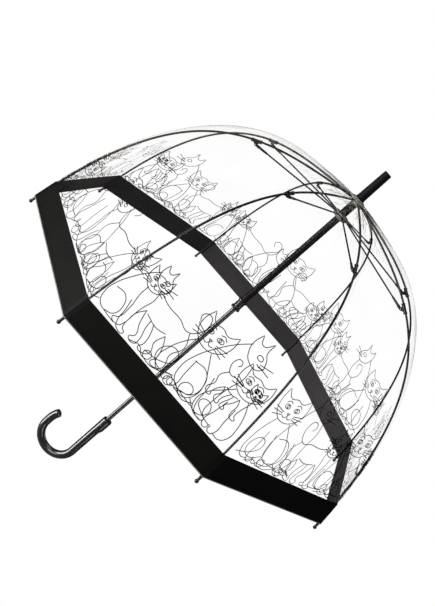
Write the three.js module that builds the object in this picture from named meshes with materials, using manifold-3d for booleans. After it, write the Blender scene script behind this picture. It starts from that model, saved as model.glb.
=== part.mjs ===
// A clear bubble umbrella, open: a crook handle on a thin shaft, a long runner that slides on it, eight curved
// ribs held out by eight stretchers, and a deep dome of clear film with a black band round its hem.
// Millimetres, +Z along the shaft towards the ferrule. Heights are written from the plane of the hem, and the
// finished group is lifted so that the origin lies in the middle of the hand grip.
import * as THREE from "three";
import { mergeVertices } from "three/addons/utils/BufferGeometryUtils.js";
import Module from "manifold-3d";

const wasm = await Module();
wasm.setup();

// Driving dimensions: the dome.
const RIB_COUNT = 8;
const HEM_RADIUS = 431; // to the rib's centre line, at the hem
const CROWN_HEIGHT = 417; // the ribs' pivots, above the hem
const CROWN_PIVOT_RADIUS = 13;
const CROWN_SLOPE_DEG = 9.2; // how far a rib leaves the crown below the horizontal
const CROWN_PULL = 228; // length of the curve's handle at the crown
const HEM_FLARE_DEG = 11; // how far a rib still leans out at the hem
const HEM_PULL = 353; // length of the curve's handle at the hem
const BAND_WIDTH = 48; // the black band, along the rib
const FILM_THICKNESS = 1.1;
const FILM_CLEARANCE = 3.7; // from a rib's centre line to the film's inner corner
const FILM_HOLE_RADIUS = 9;

// Driving dimensions: ribs, stretchers and their pivots.
const RIB_RADIUS = 2;
const RIB_JOINT_DISTANCE = 213; // from the crown pivot, along the rib
const CLIP_RADIUS = 3.7;
const CLIP_LENGTH = 20;
const CLIP_DROP = 0.7; // the clip's sleeve is thicker on the inside
const LUG_DROP = 7.5; // from the rib's centre line to the stretcher's pivot
const LUG_THICKNESS = 1.6;
const RIVET_RADIUS = 0.9;
const STRETCHER_RADIUS = 1.5;
const SOCKET_RADIUS = 2.6;
const SOCKET_LENGTH = 28;
const TONGUE_THICKNESS = 1.4;
const TONGUE_RADIUS = 2.3;
const TONGUE_LENGTH = 6; // from the pivot to the round rod
const WIRE_RADIUS = 0.7;
const TIP_CAP_RADIUS = 3;
const TIP_CAP_LENGTH = 16;
const TIP_BULB_RADIUS = 3.6;
const BULB_START = -0.6; // radians, where the round bulb leaves the cap's neck
const BULB_STEPS = 4;
const RIB_END_LENGTH = 11; // of rib past the hem, inside its tip cap

// Driving dimensions: shaft, runner and crown.
const SHAFT_RADIUS = 5;
const SHAFT_WALL = 0.8;
const HUB_DROP = 39; // the stretchers' pivots, below the ribs' pivots, umbrella open
const HUB_HEIGHT = CROWN_HEIGHT - HUB_DROP;
const HUB_PIVOT_RADIUS = 11;
const HUB_RADIUS = 16;
const HUB_BELOW = 8;
const HUB_ABOVE = 4;
const RUNNER_TRAVEL = 376.8;
const TUBE_RADIUS = 7;
const NECK_WALL = 1.3; // how much thicker the tube is above the hub
const TUBE_ABOVE_HUB = 27; // from the stretchers' pivots to the tube's top
const TUBE_TOP = HUB_HEIGHT + TUBE_ABOVE_HUB;
const COLLAR_BOTTOM = 97;
const COLLAR_LENGTH = 26;
const COLLAR_RADIUS = 10.5;
const COLLAR_WAIST_RADIUS = TUBE_RADIUS + 1.5;
const COLLAR_FLANGE = 4;
const NOTCH_RADIUS = 17;
const NOTCH_BELOW = 5;
const NOTCH_ABOVE = 3.6;
const WASHER_RADIUS = 14;
const WASHER_THICKNESS = 1.5;
const FERRULE_LENGTH = 70;
const FERRULE_BASE_RADIUS = 9.1;
const FERRULE_TIP_RADIUS = 8.2;
const FERRULE_CAP = 8; // solid end beyond the shaft
const STOP_PIN_RADIUS = 1;
const CATCH_THICKNESS = 1.2;
const CATCH_LENGTH = 14.4;
const CATCH_REACH = 3.2; // past the shaft's side
const CATCH_LIP = 1.6;

// Driving dimensions: handle.
const HANDLE_TOP = -283;
const GRIP_CENTRE = -345;
const CROOK_CENTRE = -400;
const CROOK_RADIUS = 43;
const GRIP_RADIUS = 9.3;
const HANDLE_COLLAR_RADIUS = 10.8;
const HANDLE_COLLAR_LENGTH = 39;
const HANDLE_SHOULDER = 14; // the slope from the collar down to the grip
const SHAFT_SOCKET_DEPTH = 60;
const HANDLE_PIN_RADIUS = 1.2;
const HANDLE_PIN_DEPTH = 17; // below the handle's top
const HOOK_STRAIGHT = 12;
const HOOK_END_RADIUS = 60;
const HOOK_END_DEG = 26.5;

// Clearances.
const GAP = 0.3; // between pieces that touch or are cut round each other
const RUNNING = 0.35; // round a pivot wire or rivet
const CLIP_SLACK = 0.5; // round the curved rib in its clip

const FIRST_RIB = Math.PI / RIB_COUNT;
const RIB_PITCH = (2 * Math.PI) / RIB_COUNT;

const finish = (color, roughness, metalness = 0) => ({ color, roughness, metalness });
const BLACK_ROD = finish(0x141414, 0.35);
const BLACK_PLASTIC = finish(0x161616, 0.45);
const GREY_PLASTIC = finish(0x6c6c6a, 0.5);
const BLACK_STEEL = finish(0x18181a, 0.3, 0.6);
const BRIGHT_STEEL = finish(0xb8b8ba, 0.25, 1);
const CLEAR_FILM = finish(0xf2efe9, 0.1);
const BAND_VINYL = finish(0x1a1a19, 0.4);

const umbrella = new THREE.Group();
umbrella.position.z = -GRIP_CENTRE;

// Adds one named piece to a group.
function piece(name, geometry, look, parent = umbrella) {
  const mesh = new THREE.Mesh(geometry, new THREE.MeshStandardMaterial(look));
  mesh.name = name;
  parent.add(mesh);
  return mesh;
}

// A closed geometry as a solid that can be joined and cut.
function solid(geometry) {
  const bare = geometry.index ? geometry.toNonIndexed() : geometry.clone();
  bare.deleteAttribute("normal");
  bare.deleteAttribute("uv");
  const merged = mergeVertices(bare, 1e-3);
  return new wasm.Manifold(
    new wasm.Mesh({
      numProp: 3,
      vertProperties: merged.attributes.position.array,
      triVerts: new Uint32Array(merged.index.array),
    }),
  );
}

function geometryOf(made) {
  const { vertProperties, triVerts } = made.getMesh();
  const geometry = new THREE.BufferGeometry();
  geometry.setAttribute("position", new THREE.BufferAttribute(vertProperties, 3));
  geometry.setIndex(new THREE.BufferAttribute(triVerts, 1));
  return geometry;
}

const join = (first, ...others) =>
  geometryOf(others.reduce((made, other) => made.add(solid(other)), solid(first)));
const cut = (first, ...others) =>
  geometryOf(others.reduce((made, other) => made.subtract(solid(other)), solid(first)));

// A turned shape about Z, from [radius, height] pairs that run up its outside and close on themselves.
function turned(profile, sides = 32, start = 0) {
  const points = profile.map(([r, z]) => new THREE.Vector2(r, z));
  points.push(points[0].clone());
  return new THREE.LatheGeometry(points, sides, start).rotateX(Math.PI / 2);
}

const ring = (inner, outer, low, high, sides) =>
  turned([[inner, low], [outer, low], [outer, high], [inner, high]], sides);

function cylinder(radius, low, high, sides = 24) {
  return new THREE.CylinderGeometry(radius, radius, high - low, sides)
    .rotateX(Math.PI / 2)
    .translate(0, 0, (low + high) / 2);
}

function block(x0, x1, y0, y1, z0, z1) {
  return new THREE.BoxGeometry(x1 - x0, y1 - y0, z1 - z0).translate(
    (x0 + x1) / 2,
    (y0 + y1) / 2,
    (z0 + z1) / 2,
  );
}

// A flat plate in the XZ plane, centred on Y = 0.
function plate(shape, thickness, curveSegments = 4) {
  return new THREE.ExtrudeGeometry(shape, { depth: thickness, bevelEnabled: false, curveSegments })
    .rotateX(Math.PI / 2)
    .translate(0, thickness / 2, 0);
}

// A round rod along a curve.
function rod(path, radius, steps, sides = 8) {
  const section = new THREE.Shape();
  for (let i = 0; i < sides; i++) {
    const turn = (2 * Math.PI * (i + 0.5)) / sides;
    const corner = [radius * Math.cos(turn), radius * Math.sin(turn)];
    if (i) section.lineTo(...corner);
    else section.moveTo(...corner);
  }
  return new THREE.ExtrudeGeometry(section, { steps, extrudePath: path, bevelEnabled: false });
}

// The rib's centre line in its own plane: x is the distance from the shaft and y the height.
const radians = THREE.MathUtils.degToRad;
const crownPivot = new THREE.Vector2(CROWN_PIVOT_RADIUS, CROWN_HEIGHT);
const hemPoint = new THREE.Vector2(HEM_RADIUS, 0);
const crownSlope = radians(CROWN_SLOPE_DEG);
const hemFlare = radians(HEM_FLARE_DEG);
const ribLine = new THREE.CubicBezierCurve(
  crownPivot,
  new THREE.Vector2(Math.cos(crownSlope), -Math.sin(crownSlope)).multiplyScalar(CROWN_PULL).add(crownPivot),
  new THREE.Vector2(-Math.sin(hemFlare), Math.cos(hemFlare)).multiplyScalar(HEM_PULL).add(hemPoint),
  hemPoint,
);
const ribLength = ribLine.getLength();

// A point beside the rib: a distance along it, and how far outside its centre line.
function beside(distance, outward = 0) {
  const share = distance / ribLength;
  const along = ribLine.getTangentAt(share);
  return new THREE.Vector2(-along.y, along.x).multiplyScalar(outward).add(ribLine.getPointAt(share));
}

const inSpace = (point) => new THREE.Vector3(point.x, 0, point.y);

// The stretch of the rib's line between two distances, as a path in the XZ plane.
class RibPath extends THREE.Curve {
  constructor(from, to) {
    super();
    this.from = from;
    this.to = to;
  }
  getPoint(share, target = new THREE.Vector3()) {
    const distance = this.from + (this.to - this.from) * share;
    const beyond = Math.max(distance - ribLength, 0);
    const along = ribLine.getTangentAt(1);
    return target.copy(inSpace(beside(distance - beyond).addScaledVector(along, beyond)));
  }
}

// A long eye plate from a pivot towards a point, with a hole round the pivot.
function tongue(pivot, towards, length) {
  const along = towards.clone().sub(pivot).normalize();
  const turn = Math.atan2(along.y, along.x);
  const end = along.clone().multiplyScalar(length).add(pivot);
  const shape = new THREE.Shape();
  shape.absarc(pivot.x, pivot.y, TONGUE_RADIUS, turn + Math.PI / 2, turn + 1.5 * Math.PI);
  shape.absarc(end.x, end.y, STRETCHER_RADIUS, turn - Math.PI / 2, turn + Math.PI / 2);
  shape.holes.push(new THREE.Path().absarc(pivot.x, pivot.y, WIRE_RADIUS + RUNNING, 0, 2 * Math.PI));
  return plate(shape, TONGUE_THICKNESS);
}

// Where the clip sits, and where its rivet joins the stretcher.
const clipCentre = beside(RIB_JOINT_DISTANCE);
const clipAlong = ribLine.getTangentAt(RIB_JOINT_DISTANCE / ribLength);
const rivet = beside(RIB_JOINT_DISTANCE, -LUG_DROP);
const hubPivot = new THREE.Vector2(HUB_PIVOT_RADIUS, HUB_HEIGHT);

// Ribs, clips, stretchers and tip caps: made once in the XZ plane.
const clipEnd = RIB_JOINT_DISTANCE + CLIP_LENGTH / 2;
const flexDistance = clipEnd + 0.8; // the lower rib's rounded end sits in the clip's mouth
const upperRibGeometry = join(
  tongue(crownPivot, beside(TONGUE_LENGTH + 4), TONGUE_LENGTH + 3),
  rod(new RibPath(TONGUE_LENGTH, RIB_JOINT_DISTANCE - GAP), RIB_RADIUS, 11),
);
const lowerRibStart = inSpace(beside(flexDistance));
const lowerRibGeometry = join(
  rod(new RibPath(flexDistance, ribLength + RIB_END_LENGTH), RIB_RADIUS, 13),
  new THREE.SphereGeometry(RIB_RADIUS, 8, 5).translate(...lowerRibStart),
);

// What is made along X about the rib's line at the clip, turned into place.
const toClip = (geometry) =>
  geometry.rotateY(-Math.atan2(clipAlong.y, clipAlong.x)).translate(...inSpace(clipCentre));
const sleeveRod = (radius, low, high, drop, sides) =>
  cylinder(radius, low, high, sides).rotateY(Math.PI / 2).translate(0, 0, -drop);

function clipGeometry() {
  const half = CLIP_LENGTH / 2;
  const lug = new THREE.Shape();
  lug.moveTo(-half * 0.7, -CLIP_DROP - RIB_RADIUS - CLIP_SLACK);
  lug.lineTo(-TONGUE_RADIUS, -LUG_DROP);
  lug.absarc(0, -LUG_DROP, TONGUE_RADIUS, Math.PI, 2 * Math.PI);
  lug.lineTo(half * 0.7, -CLIP_DROP - RIB_RADIUS - CLIP_SLACK);
  const hole = new THREE.Path().absarc(0, -LUG_DROP, RIVET_RADIUS + RUNNING, 0, 2 * Math.PI);
  lug.holes.push(hole);
  const sleeve = sleeveRod(CLIP_RADIUS, -half, half, CLIP_DROP, 14);
  const bore = sleeveRod(RIB_RADIUS + CLIP_SLACK, -half - 1, half + 1, 0, 10);
  return toClip(cut(join(sleeve, plate(lug, LUG_THICKNESS)), bore));
}

// The stretcher is made along -X from its rivet, then turned to meet the hub.
function stretcherGeometry() {
  const towards = hubPivot.clone().sub(rivet);
  const length = towards.length();
  const cheekInside = LUG_THICKNESS / 2 + GAP;
  const cheekOutside = SOCKET_RADIUS;
  const forkDepth = LUG_DROP - CLIP_RADIUS + 2;
  const along = (radius, low, high, sides) =>
    cylinder(radius, low, high, sides).rotateY(-Math.PI / 2);
  const socket = along(SOCKET_RADIUS, 0, SOCKET_LENGTH, 12);
  const nose = new THREE.CylinderGeometry(SOCKET_RADIUS, SOCKET_RADIUS, 2 * cheekOutside, 12);
  const slot = block(-forkDepth, SOCKET_RADIUS + 1, -cheekInside, cheekInside, -4, 4);
  const rivetPin = new THREE.CylinderGeometry(RIVET_RADIUS, RIVET_RADIUS, 2 * cheekOutside - 1, 8);
  const rodEnd = length - TONGUE_LENGTH;
  const bar = along(STRETCHER_RADIUS, SOCKET_LENGTH - 4, rodEnd, 6);
  const eye = tongue(new THREE.Vector2(-length, 0), new THREE.Vector2(), TONGUE_LENGTH + 3);
  const fork = cut(join(socket, nose), slot);
  const placed = join(fork, rivetPin, bar, eye)
    .rotateY(Math.PI - Math.atan2(towards.y, towards.x))
    .translate(...inSpace(rivet));
  const sleeveSpace = sleeveRod(CLIP_RADIUS + GAP, -CLIP_LENGTH, CLIP_LENGTH, CLIP_DROP, 14);
  return cut(placed, toClip(sleeveSpace));
}

// The tip cap is made along Z from the hem outwards, then turned onto the rib's end.
function tipCapGeometry() {
  const neck = TIP_CAP_LENGTH - TIP_BULB_RADIUS;
  const bulb = [];
  for (let i = 0; i <= BULB_STEPS; i++) {
    const turn = BULB_START + ((Math.PI / 2 - BULB_START) * i) / BULB_STEPS;
    bulb.push([TIP_BULB_RADIUS * Math.cos(turn), neck + TIP_BULB_RADIUS * Math.sin(turn)]);
  }
  bulb[bulb.length - 1][0] = 0;
  const bore = RIB_RADIUS + GAP;
  const outline = [[bore, 0], [TIP_CAP_RADIUS, 0], [TIP_CAP_RADIUS - 0.3, neck - 4], ...bulb];
  const inside = [[0, RIB_END_LENGTH + GAP], [bore, RIB_END_LENGTH + GAP]];
  const along = ribLine.getTangentAt(1);
  return turned([...outline, ...inside], 10)
    .translate(0, 0, GAP)
    .rotateY(Math.PI / 2 - Math.atan2(along.y, along.x))
    .translate(...inSpace(hemPoint));
}

const clip = clipGeometry();
const stretcher = stretcherGeometry();
const tipCap = tipCapGeometry();
for (let i = 0; i < RIB_COUNT; i++) {
  const spoke = new THREE.Group();
  spoke.rotation.z = FIRST_RIB + i * RIB_PITCH;
  umbrella.add(spoke);
  piece(`upper_rib_${i + 1}`, upperRibGeometry, BLACK_ROD, spoke);
  piece(`lower_rib_${i + 1}`, lowerRibGeometry, BLACK_ROD, spoke);
  piece(`rib_joint_${i + 1}`, clip, BLACK_PLASTIC, spoke);
  piece(`stretcher_${i + 1}`, stretcher, BLACK_ROD, spoke);
  piece(`tip_cap_${i + 1}`, tipCap, BLACK_PLASTIC, spoke);
}

// A disc with a radial slot for each spoke, and a groove round its rim for the pivot wire.
function slottedDisc(blank, pivotRadius, height, slotLow, slotHigh) {
  const slots = [];
  const inner = pivotRadius - TONGUE_RADIUS - GAP;
  const half = TONGUE_THICKNESS / 2 + GAP;
  for (let i = 0; i < RIB_COUNT; i++) {
    slots.push(block(inner, 2 * HUB_RADIUS, -half, half, slotLow, slotHigh).rotateZ(FIRST_RIB + i * RIB_PITCH));
  }
  const wireSpace = WIRE_RADIUS + GAP;
  const groove = ring(pivotRadius - wireSpace, 2 * HUB_RADIUS, height - wireSpace, height + wireSpace);
  return cut(blank, groove, ...slots);
}

const pivotWire = (radius, height) =>
  new THREE.TorusGeometry(radius, WIRE_RADIUS, 6, 32).translate(0, 0, height);

// Crown: the notch carries the ribs, and the film is pinched between it and the washer.
const notchBottom = CROWN_HEIGHT - NOTCH_BELOW;
const notchTop = CROWN_HEIGHT + NOTCH_ABOVE;
const shaftHole = SHAFT_RADIUS + GAP;
const notchBlank = turned([
  [shaftHole, notchBottom],
  [NOTCH_RADIUS - 1.5, notchBottom],
  [NOTCH_RADIUS, notchBottom + 1.5],
  [NOTCH_RADIUS, notchTop - 1],
  [NOTCH_RADIUS - 1, notchTop],
  [shaftHole, notchTop],
], 32);
const notchSlotTop = CROWN_HEIGHT + TONGUE_RADIUS + GAP;
piece(
  "crown_notch",
  slottedDisc(notchBlank, CROWN_PIVOT_RADIUS, CROWN_HEIGHT, notchBottom - 1, notchSlotTop),
  GREY_PLASTIC,
);
piece("crown_wire", pivotWire(CROWN_PIVOT_RADIUS, CROWN_HEIGHT), BRIGHT_STEEL);

const filmBottom = notchTop + GAP;
const filmTop = filmBottom + FILM_THICKNESS;
const washerBottom = filmTop + GAP;
const washerTop = washerBottom + WASHER_THICKNESS;
piece(
  "crown_washer",
  turned([
    [shaftHole, washerBottom],
    [WASHER_RADIUS, washerBottom],
    [WASHER_RADIUS - 0.8, washerTop],
    [shaftHole, washerTop],
  ], 24),
  GREY_PLASTIC,
);

const ferruleBottom = washerTop + GAP;
const ferruleTop = ferruleBottom + FERRULE_LENGTH;
const shaftTop = ferruleTop - FERRULE_CAP;
piece(
  "ferrule",
  turned([
    [shaftHole, ferruleBottom],
    [FERRULE_BASE_RADIUS, ferruleBottom],
    [FERRULE_BASE_RADIUS, ferruleBottom + 4],
    [FERRULE_TIP_RADIUS, ferruleTop - 1],
    [FERRULE_TIP_RADIUS - 1, ferruleTop],
    [0, ferruleTop],
    [0, shaftTop + GAP],
    [shaftHole, shaftTop + GAP],
  ], 24),
  BLACK_PLASTIC,
);

// Film and band: an eight-sided dome whose corners follow the ribs.
const FILM_FLAT_RADIUS = NOTCH_RADIUS + 1;
const FILM_FREE_DISTANCE = 34; // along the rib, where the film has come down from the notch
function domeSide(from, to, steps, outward) {
  const side = [];
  for (let i = 0; i <= steps; i++) {
    const point = beside(from + ((to - from) * i) / steps, outward);
    side.push([point.x, point.y]);
  }
  return side;
}
const innerOffset = FILM_CLEARANCE;
const outerOffset = FILM_CLEARANCE + FILM_THICKNESS;
const filmEnd = ribLength - BAND_WIDTH - GAP;
const dome = (profile) => turned(profile, RIB_COUNT, FIRST_RIB);
piece(
  "canopy_clear",
  dome([
    [FILM_HOLE_RADIUS, filmBottom],
    [FILM_FLAT_RADIUS, filmBottom],
    ...domeSide(FILM_FREE_DISTANCE, filmEnd, 18, innerOffset),
    ...domeSide(FILM_FREE_DISTANCE, filmEnd, 18, outerOffset).reverse(),
    [FILM_FLAT_RADIUS, filmTop],
    [FILM_HOLE_RADIUS, filmTop],
  ]),
  CLEAR_FILM,
);
const bandStart = ribLength - BAND_WIDTH;
piece(
  "canopy_band",
  dome([
    ...domeSide(bandStart, ribLength, 3, innerOffset),
    ...domeSide(bandStart, ribLength, 3, outerOffset).reverse(),
  ]),
  BAND_VINYL,
);

// Runner: hub, pivot wire, tube and thumb collar slide together.
const hubBottom = HUB_HEIGHT - HUB_BELOW;
const hubTop = HUB_HEIGHT + HUB_ABOVE;
const tubeHole = TUBE_RADIUS + GAP;
const hubBlank = turned([
  [tubeHole, hubBottom],
  [HUB_RADIUS - 4, hubBottom],
  [HUB_RADIUS, hubBottom + 3],
  [HUB_RADIUS, hubTop - 1],
  [HUB_RADIUS - 1, hubTop],
  [tubeHole, hubTop],
], 32);
const hubSlotBottom = HUB_HEIGHT - TONGUE_RADIUS - GAP - 0.6; // the stretchers slope down a little
piece(
  "runner_hub",
  slottedDisc(hubBlank, HUB_PIVOT_RADIUS, HUB_HEIGHT, hubSlotBottom, hubTop + 1),
  BLACK_PLASTIC,
);
piece("runner_wire", pivotWire(HUB_PIVOT_RADIUS, HUB_HEIGHT), BRIGHT_STEEL);

// The catches: blades in slots of the shaft, on the side away from the ribs' first pair.
const slotHalf = CATCH_THICKNESS / 2 + GAP;
const topCatchHigh = COLLAR_BOTTOM - 2 * GAP;
const topCatchLow = topCatchHigh - CATCH_LENGTH;
const windowLow = COLLAR_BOTTOM + COLLAR_LENGTH + 4;
const bottomCatchLow = windowLow - RUNNER_TRAVEL + 2 * GAP;
const bottomCatchHigh = bottomCatchLow + CATCH_LENGTH;
const windowHigh = windowLow + CATCH_LENGTH + 4 * GAP;
const catchOuter = SHAFT_RADIUS + CATCH_REACH;
function catchBlade(flatEnd, slopedEnd) {
  const lip = flatEnd + Math.sign(slopedEnd - flatEnd) * CATCH_LIP;
  const shape = new THREE.Shape();
  shape.moveTo(GAP, flatEnd);
  shape.lineTo(catchOuter, flatEnd);
  shape.lineTo(catchOuter, lip);
  shape.lineTo(SHAFT_RADIUS, slopedEnd);
  shape.lineTo(GAP, slopedEnd);
  return plate(shape, CATCH_THICKNESS).rotateZ(Math.PI / 2);
}
piece("top_catch", catchBlade(topCatchHigh, topCatchLow), BRIGHT_STEEL);
piece("bottom_catch", catchBlade(bottomCatchLow, bottomCatchHigh), BRIGHT_STEEL);

const tubeBottom = COLLAR_BOTTOM + GAP;
const neckBottom = hubTop + GAP;
const tubeBlank = turned([
  [shaftHole, tubeBottom],
  [TUBE_RADIUS, tubeBottom],
  [TUBE_RADIUS, neckBottom],
  [TUBE_RADIUS + NECK_WALL, neckBottom],
  [TUBE_RADIUS + NECK_WALL, TUBE_TOP],
  [shaftHole, TUBE_TOP],
], 24);
const tubeWindow = block(-slotHalf, slotHalf, 0, 2 * TUBE_RADIUS, windowLow, windowHigh);
piece("runner_tube", cut(tubeBlank, tubeWindow), BLACK_PLASTIC);

const collarTop = COLLAR_BOTTOM + COLLAR_LENGTH;
const collarWaist = (COLLAR_BOTTOM + collarTop) / 2;
piece(
  "runner_collar",
  turned([
    [tubeHole, COLLAR_BOTTOM],
    [COLLAR_RADIUS - 0.8, COLLAR_BOTTOM],
    [COLLAR_RADIUS, COLLAR_BOTTOM + 0.8],
    [COLLAR_RADIUS, COLLAR_BOTTOM + COLLAR_FLANGE],
    [COLLAR_WAIST_RADIUS + 0.8, COLLAR_BOTTOM + 2 * COLLAR_FLANGE],
    [COLLAR_WAIST_RADIUS, collarWaist],
    [COLLAR_WAIST_RADIUS + 0.8, collarTop - 2 * COLLAR_FLANGE],
    [COLLAR_RADIUS, collarTop - COLLAR_FLANGE],
    [COLLAR_RADIUS, collarTop - 0.8],
    [COLLAR_RADIUS - 0.8, collarTop],
    [tubeHole, collarTop],
  ], 24),
  BLACK_PLASTIC,
);

// Shaft: a steel tube with a slot for each catch and cross holes for the stop pin and the handle's pin.
const shaftBottom = HANDLE_TOP - SHAFT_SOCKET_DEPTH;
const stopPinHeight = TUBE_TOP + STOP_PIN_RADIUS + GAP;
const handlePinHeight = HANDLE_TOP - HANDLE_PIN_DEPTH;
const crossPin = (radius, reach, height, sides = 16) =>
  new THREE.CylinderGeometry(radius, radius, 2 * reach, sides).translate(0, 0, height);
const catchSlot = (low, high) => block(-slotHalf, slotHalf, 0, 2 * SHAFT_RADIUS, low - GAP, high + GAP);
piece(
  "shaft",
  cut(
    ring(SHAFT_RADIUS - SHAFT_WALL, SHAFT_RADIUS, shaftBottom, shaftTop, 24),
    catchSlot(topCatchLow, topCatchHigh),
    catchSlot(bottomCatchLow, bottomCatchHigh),
    crossPin(STOP_PIN_RADIUS + GAP, 2 * SHAFT_RADIUS, stopPinHeight),
    crossPin(HANDLE_PIN_RADIUS + GAP, 2 * SHAFT_RADIUS, handlePinHeight),
  ),
  BLACK_STEEL,
);
piece("stop_pin", crossPin(STOP_PIN_RADIUS, TUBE_RADIUS - GAP, stopPinHeight), BRIGHT_STEEL);

// Handle: a moulded crook with a thicker collar, pinned on the shaft.
const crookPath = new THREE.CurvePath();
const hookSide = -2 * CROOK_RADIUS;
const hookTop = CROOK_CENTRE + HOOK_STRAIGHT;
const arc = (centreX, centreZ, radius, from, to) =>
  new (class extends THREE.Curve {
    getPoint(share, target = new THREE.Vector3()) {
      const turn = from + (to - from) * share;
      return target.set(centreX + radius * Math.cos(turn), 0, centreZ + radius * Math.sin(turn));
    }
  })();
const at = (x, z) => new THREE.Vector3(x, 0, z);
crookPath.add(new THREE.LineCurve3(at(0, HANDLE_TOP - HANDLE_COLLAR_LENGTH), at(0, CROOK_CENTRE)));
crookPath.add(arc(-CROOK_RADIUS, CROOK_CENTRE, CROOK_RADIUS, 0, -Math.PI));
crookPath.add(new THREE.LineCurve3(at(hookSide, CROOK_CENTRE), at(hookSide, hookTop)));
crookPath.add(
  arc(hookSide + HOOK_END_RADIUS, hookTop, HOOK_END_RADIUS, Math.PI, Math.PI - radians(HOOK_END_DEG)),
);
const collarFoot = HANDLE_TOP - HANDLE_COLLAR_LENGTH;
const handleCollar = turned([
  [0, collarFoot - HANDLE_SHOULDER],
  [GRIP_RADIUS + 0.05, collarFoot - HANDLE_SHOULDER],
  [HANDLE_COLLAR_RADIUS, collarFoot],
  [HANDLE_COLLAR_RADIUS, HANDLE_TOP - 1],
  [HANDLE_COLLAR_RADIUS - 1, HANDLE_TOP],
  [0, HANDLE_TOP],
], 20);
piece(
  "crook_handle",
  cut(
    join(handleCollar, rod(crookPath, GRIP_RADIUS, 36, 16)),
    cylinder(shaftHole, shaftBottom - GAP, HANDLE_TOP + 1),
    crossPin(HANDLE_PIN_RADIUS + GAP, 2 * HANDLE_COLLAR_RADIUS, handlePinHeight),
  ),
  BLACK_PLASTIC,
);
piece("handle_pin", crossPin(HANDLE_PIN_RADIUS, HANDLE_COLLAR_RADIUS - GAP, handlePinHeight), BRIGHT_STEEL);

export default umbrella;
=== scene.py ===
"""The looks of a clear bubble umbrella: a film dome with a black band, on spring ribs, with a crook handle.

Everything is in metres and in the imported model's frame: +Z up the shaft, the origin in the hand grip.
"""

from bisect import bisect
from math import atan2, cos, exp, pi, radians, sin, sqrt, tan

import bmesh
import bpy
from mathutils import Matrix, Quaternion, Vector, noise
from mathutils.geometry import interpolate_bezier


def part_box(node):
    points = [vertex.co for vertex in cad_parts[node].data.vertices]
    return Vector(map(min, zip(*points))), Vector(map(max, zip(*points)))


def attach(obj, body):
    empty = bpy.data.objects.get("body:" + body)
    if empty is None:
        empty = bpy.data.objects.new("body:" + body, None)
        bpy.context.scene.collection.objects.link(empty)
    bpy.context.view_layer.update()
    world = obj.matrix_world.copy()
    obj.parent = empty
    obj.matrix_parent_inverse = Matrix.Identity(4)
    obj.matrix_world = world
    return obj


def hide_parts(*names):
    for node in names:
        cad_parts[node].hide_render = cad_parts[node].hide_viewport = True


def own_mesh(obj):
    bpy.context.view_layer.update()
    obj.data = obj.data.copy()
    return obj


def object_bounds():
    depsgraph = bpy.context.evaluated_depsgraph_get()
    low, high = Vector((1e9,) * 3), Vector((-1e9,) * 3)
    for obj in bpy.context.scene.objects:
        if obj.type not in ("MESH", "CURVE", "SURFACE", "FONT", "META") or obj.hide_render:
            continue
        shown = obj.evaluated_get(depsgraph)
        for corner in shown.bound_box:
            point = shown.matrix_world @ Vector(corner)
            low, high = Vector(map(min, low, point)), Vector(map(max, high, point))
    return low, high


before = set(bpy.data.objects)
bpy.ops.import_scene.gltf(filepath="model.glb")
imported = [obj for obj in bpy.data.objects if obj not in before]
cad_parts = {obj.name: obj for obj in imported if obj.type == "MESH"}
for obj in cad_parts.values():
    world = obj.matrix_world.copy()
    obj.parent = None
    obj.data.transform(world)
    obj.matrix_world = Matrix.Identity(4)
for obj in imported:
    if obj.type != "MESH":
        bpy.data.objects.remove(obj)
cad_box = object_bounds()
scene = bpy.context.scene
MM = 0.001

# ---- Camera ----
# It looks from a little above the hem, and is rolled so that the shaft lies from the lower left to the
# upper right.
AIM = Vector((-0.0304, -0.0289, 0.4317))
CAMERA_DISTANCE = 1.590
CAMERA_TURN = radians(1.33)
CAMERA_RISE = radians(17.88)
CAMERA_ROLL = radians(48.48)
FOCAL_LENGTH = 47.78

camera = bpy.data.objects.new("camera", bpy.data.cameras.new("camera"))
scene.collection.objects.link(camera)
scene.camera = camera
back = Vector((
    sin(CAMERA_TURN) * cos(CAMERA_RISE),
    -cos(CAMERA_TURN) * cos(CAMERA_RISE),
    sin(CAMERA_RISE),
))
camera.location = AIM + back * CAMERA_DISTANCE
camera.rotation_mode = "QUATERNION"
camera.rotation_quaternion = (-back).to_track_quat("-Z", "Y") @ Quaternion((0, 0, 1), CAMERA_ROLL)
camera.data.lens = FOCAL_LENGTH
camera.data.clip_start = 0.05
scene.view_settings.view_transform = "Standard"

# ---- Studio ----
# A white sweep far below that shows plain white, with dark surroundings, a tall strip light on each side for
# the long glints on the rods, a soft light beside the camera, one overhead and one behind for the film.


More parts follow.
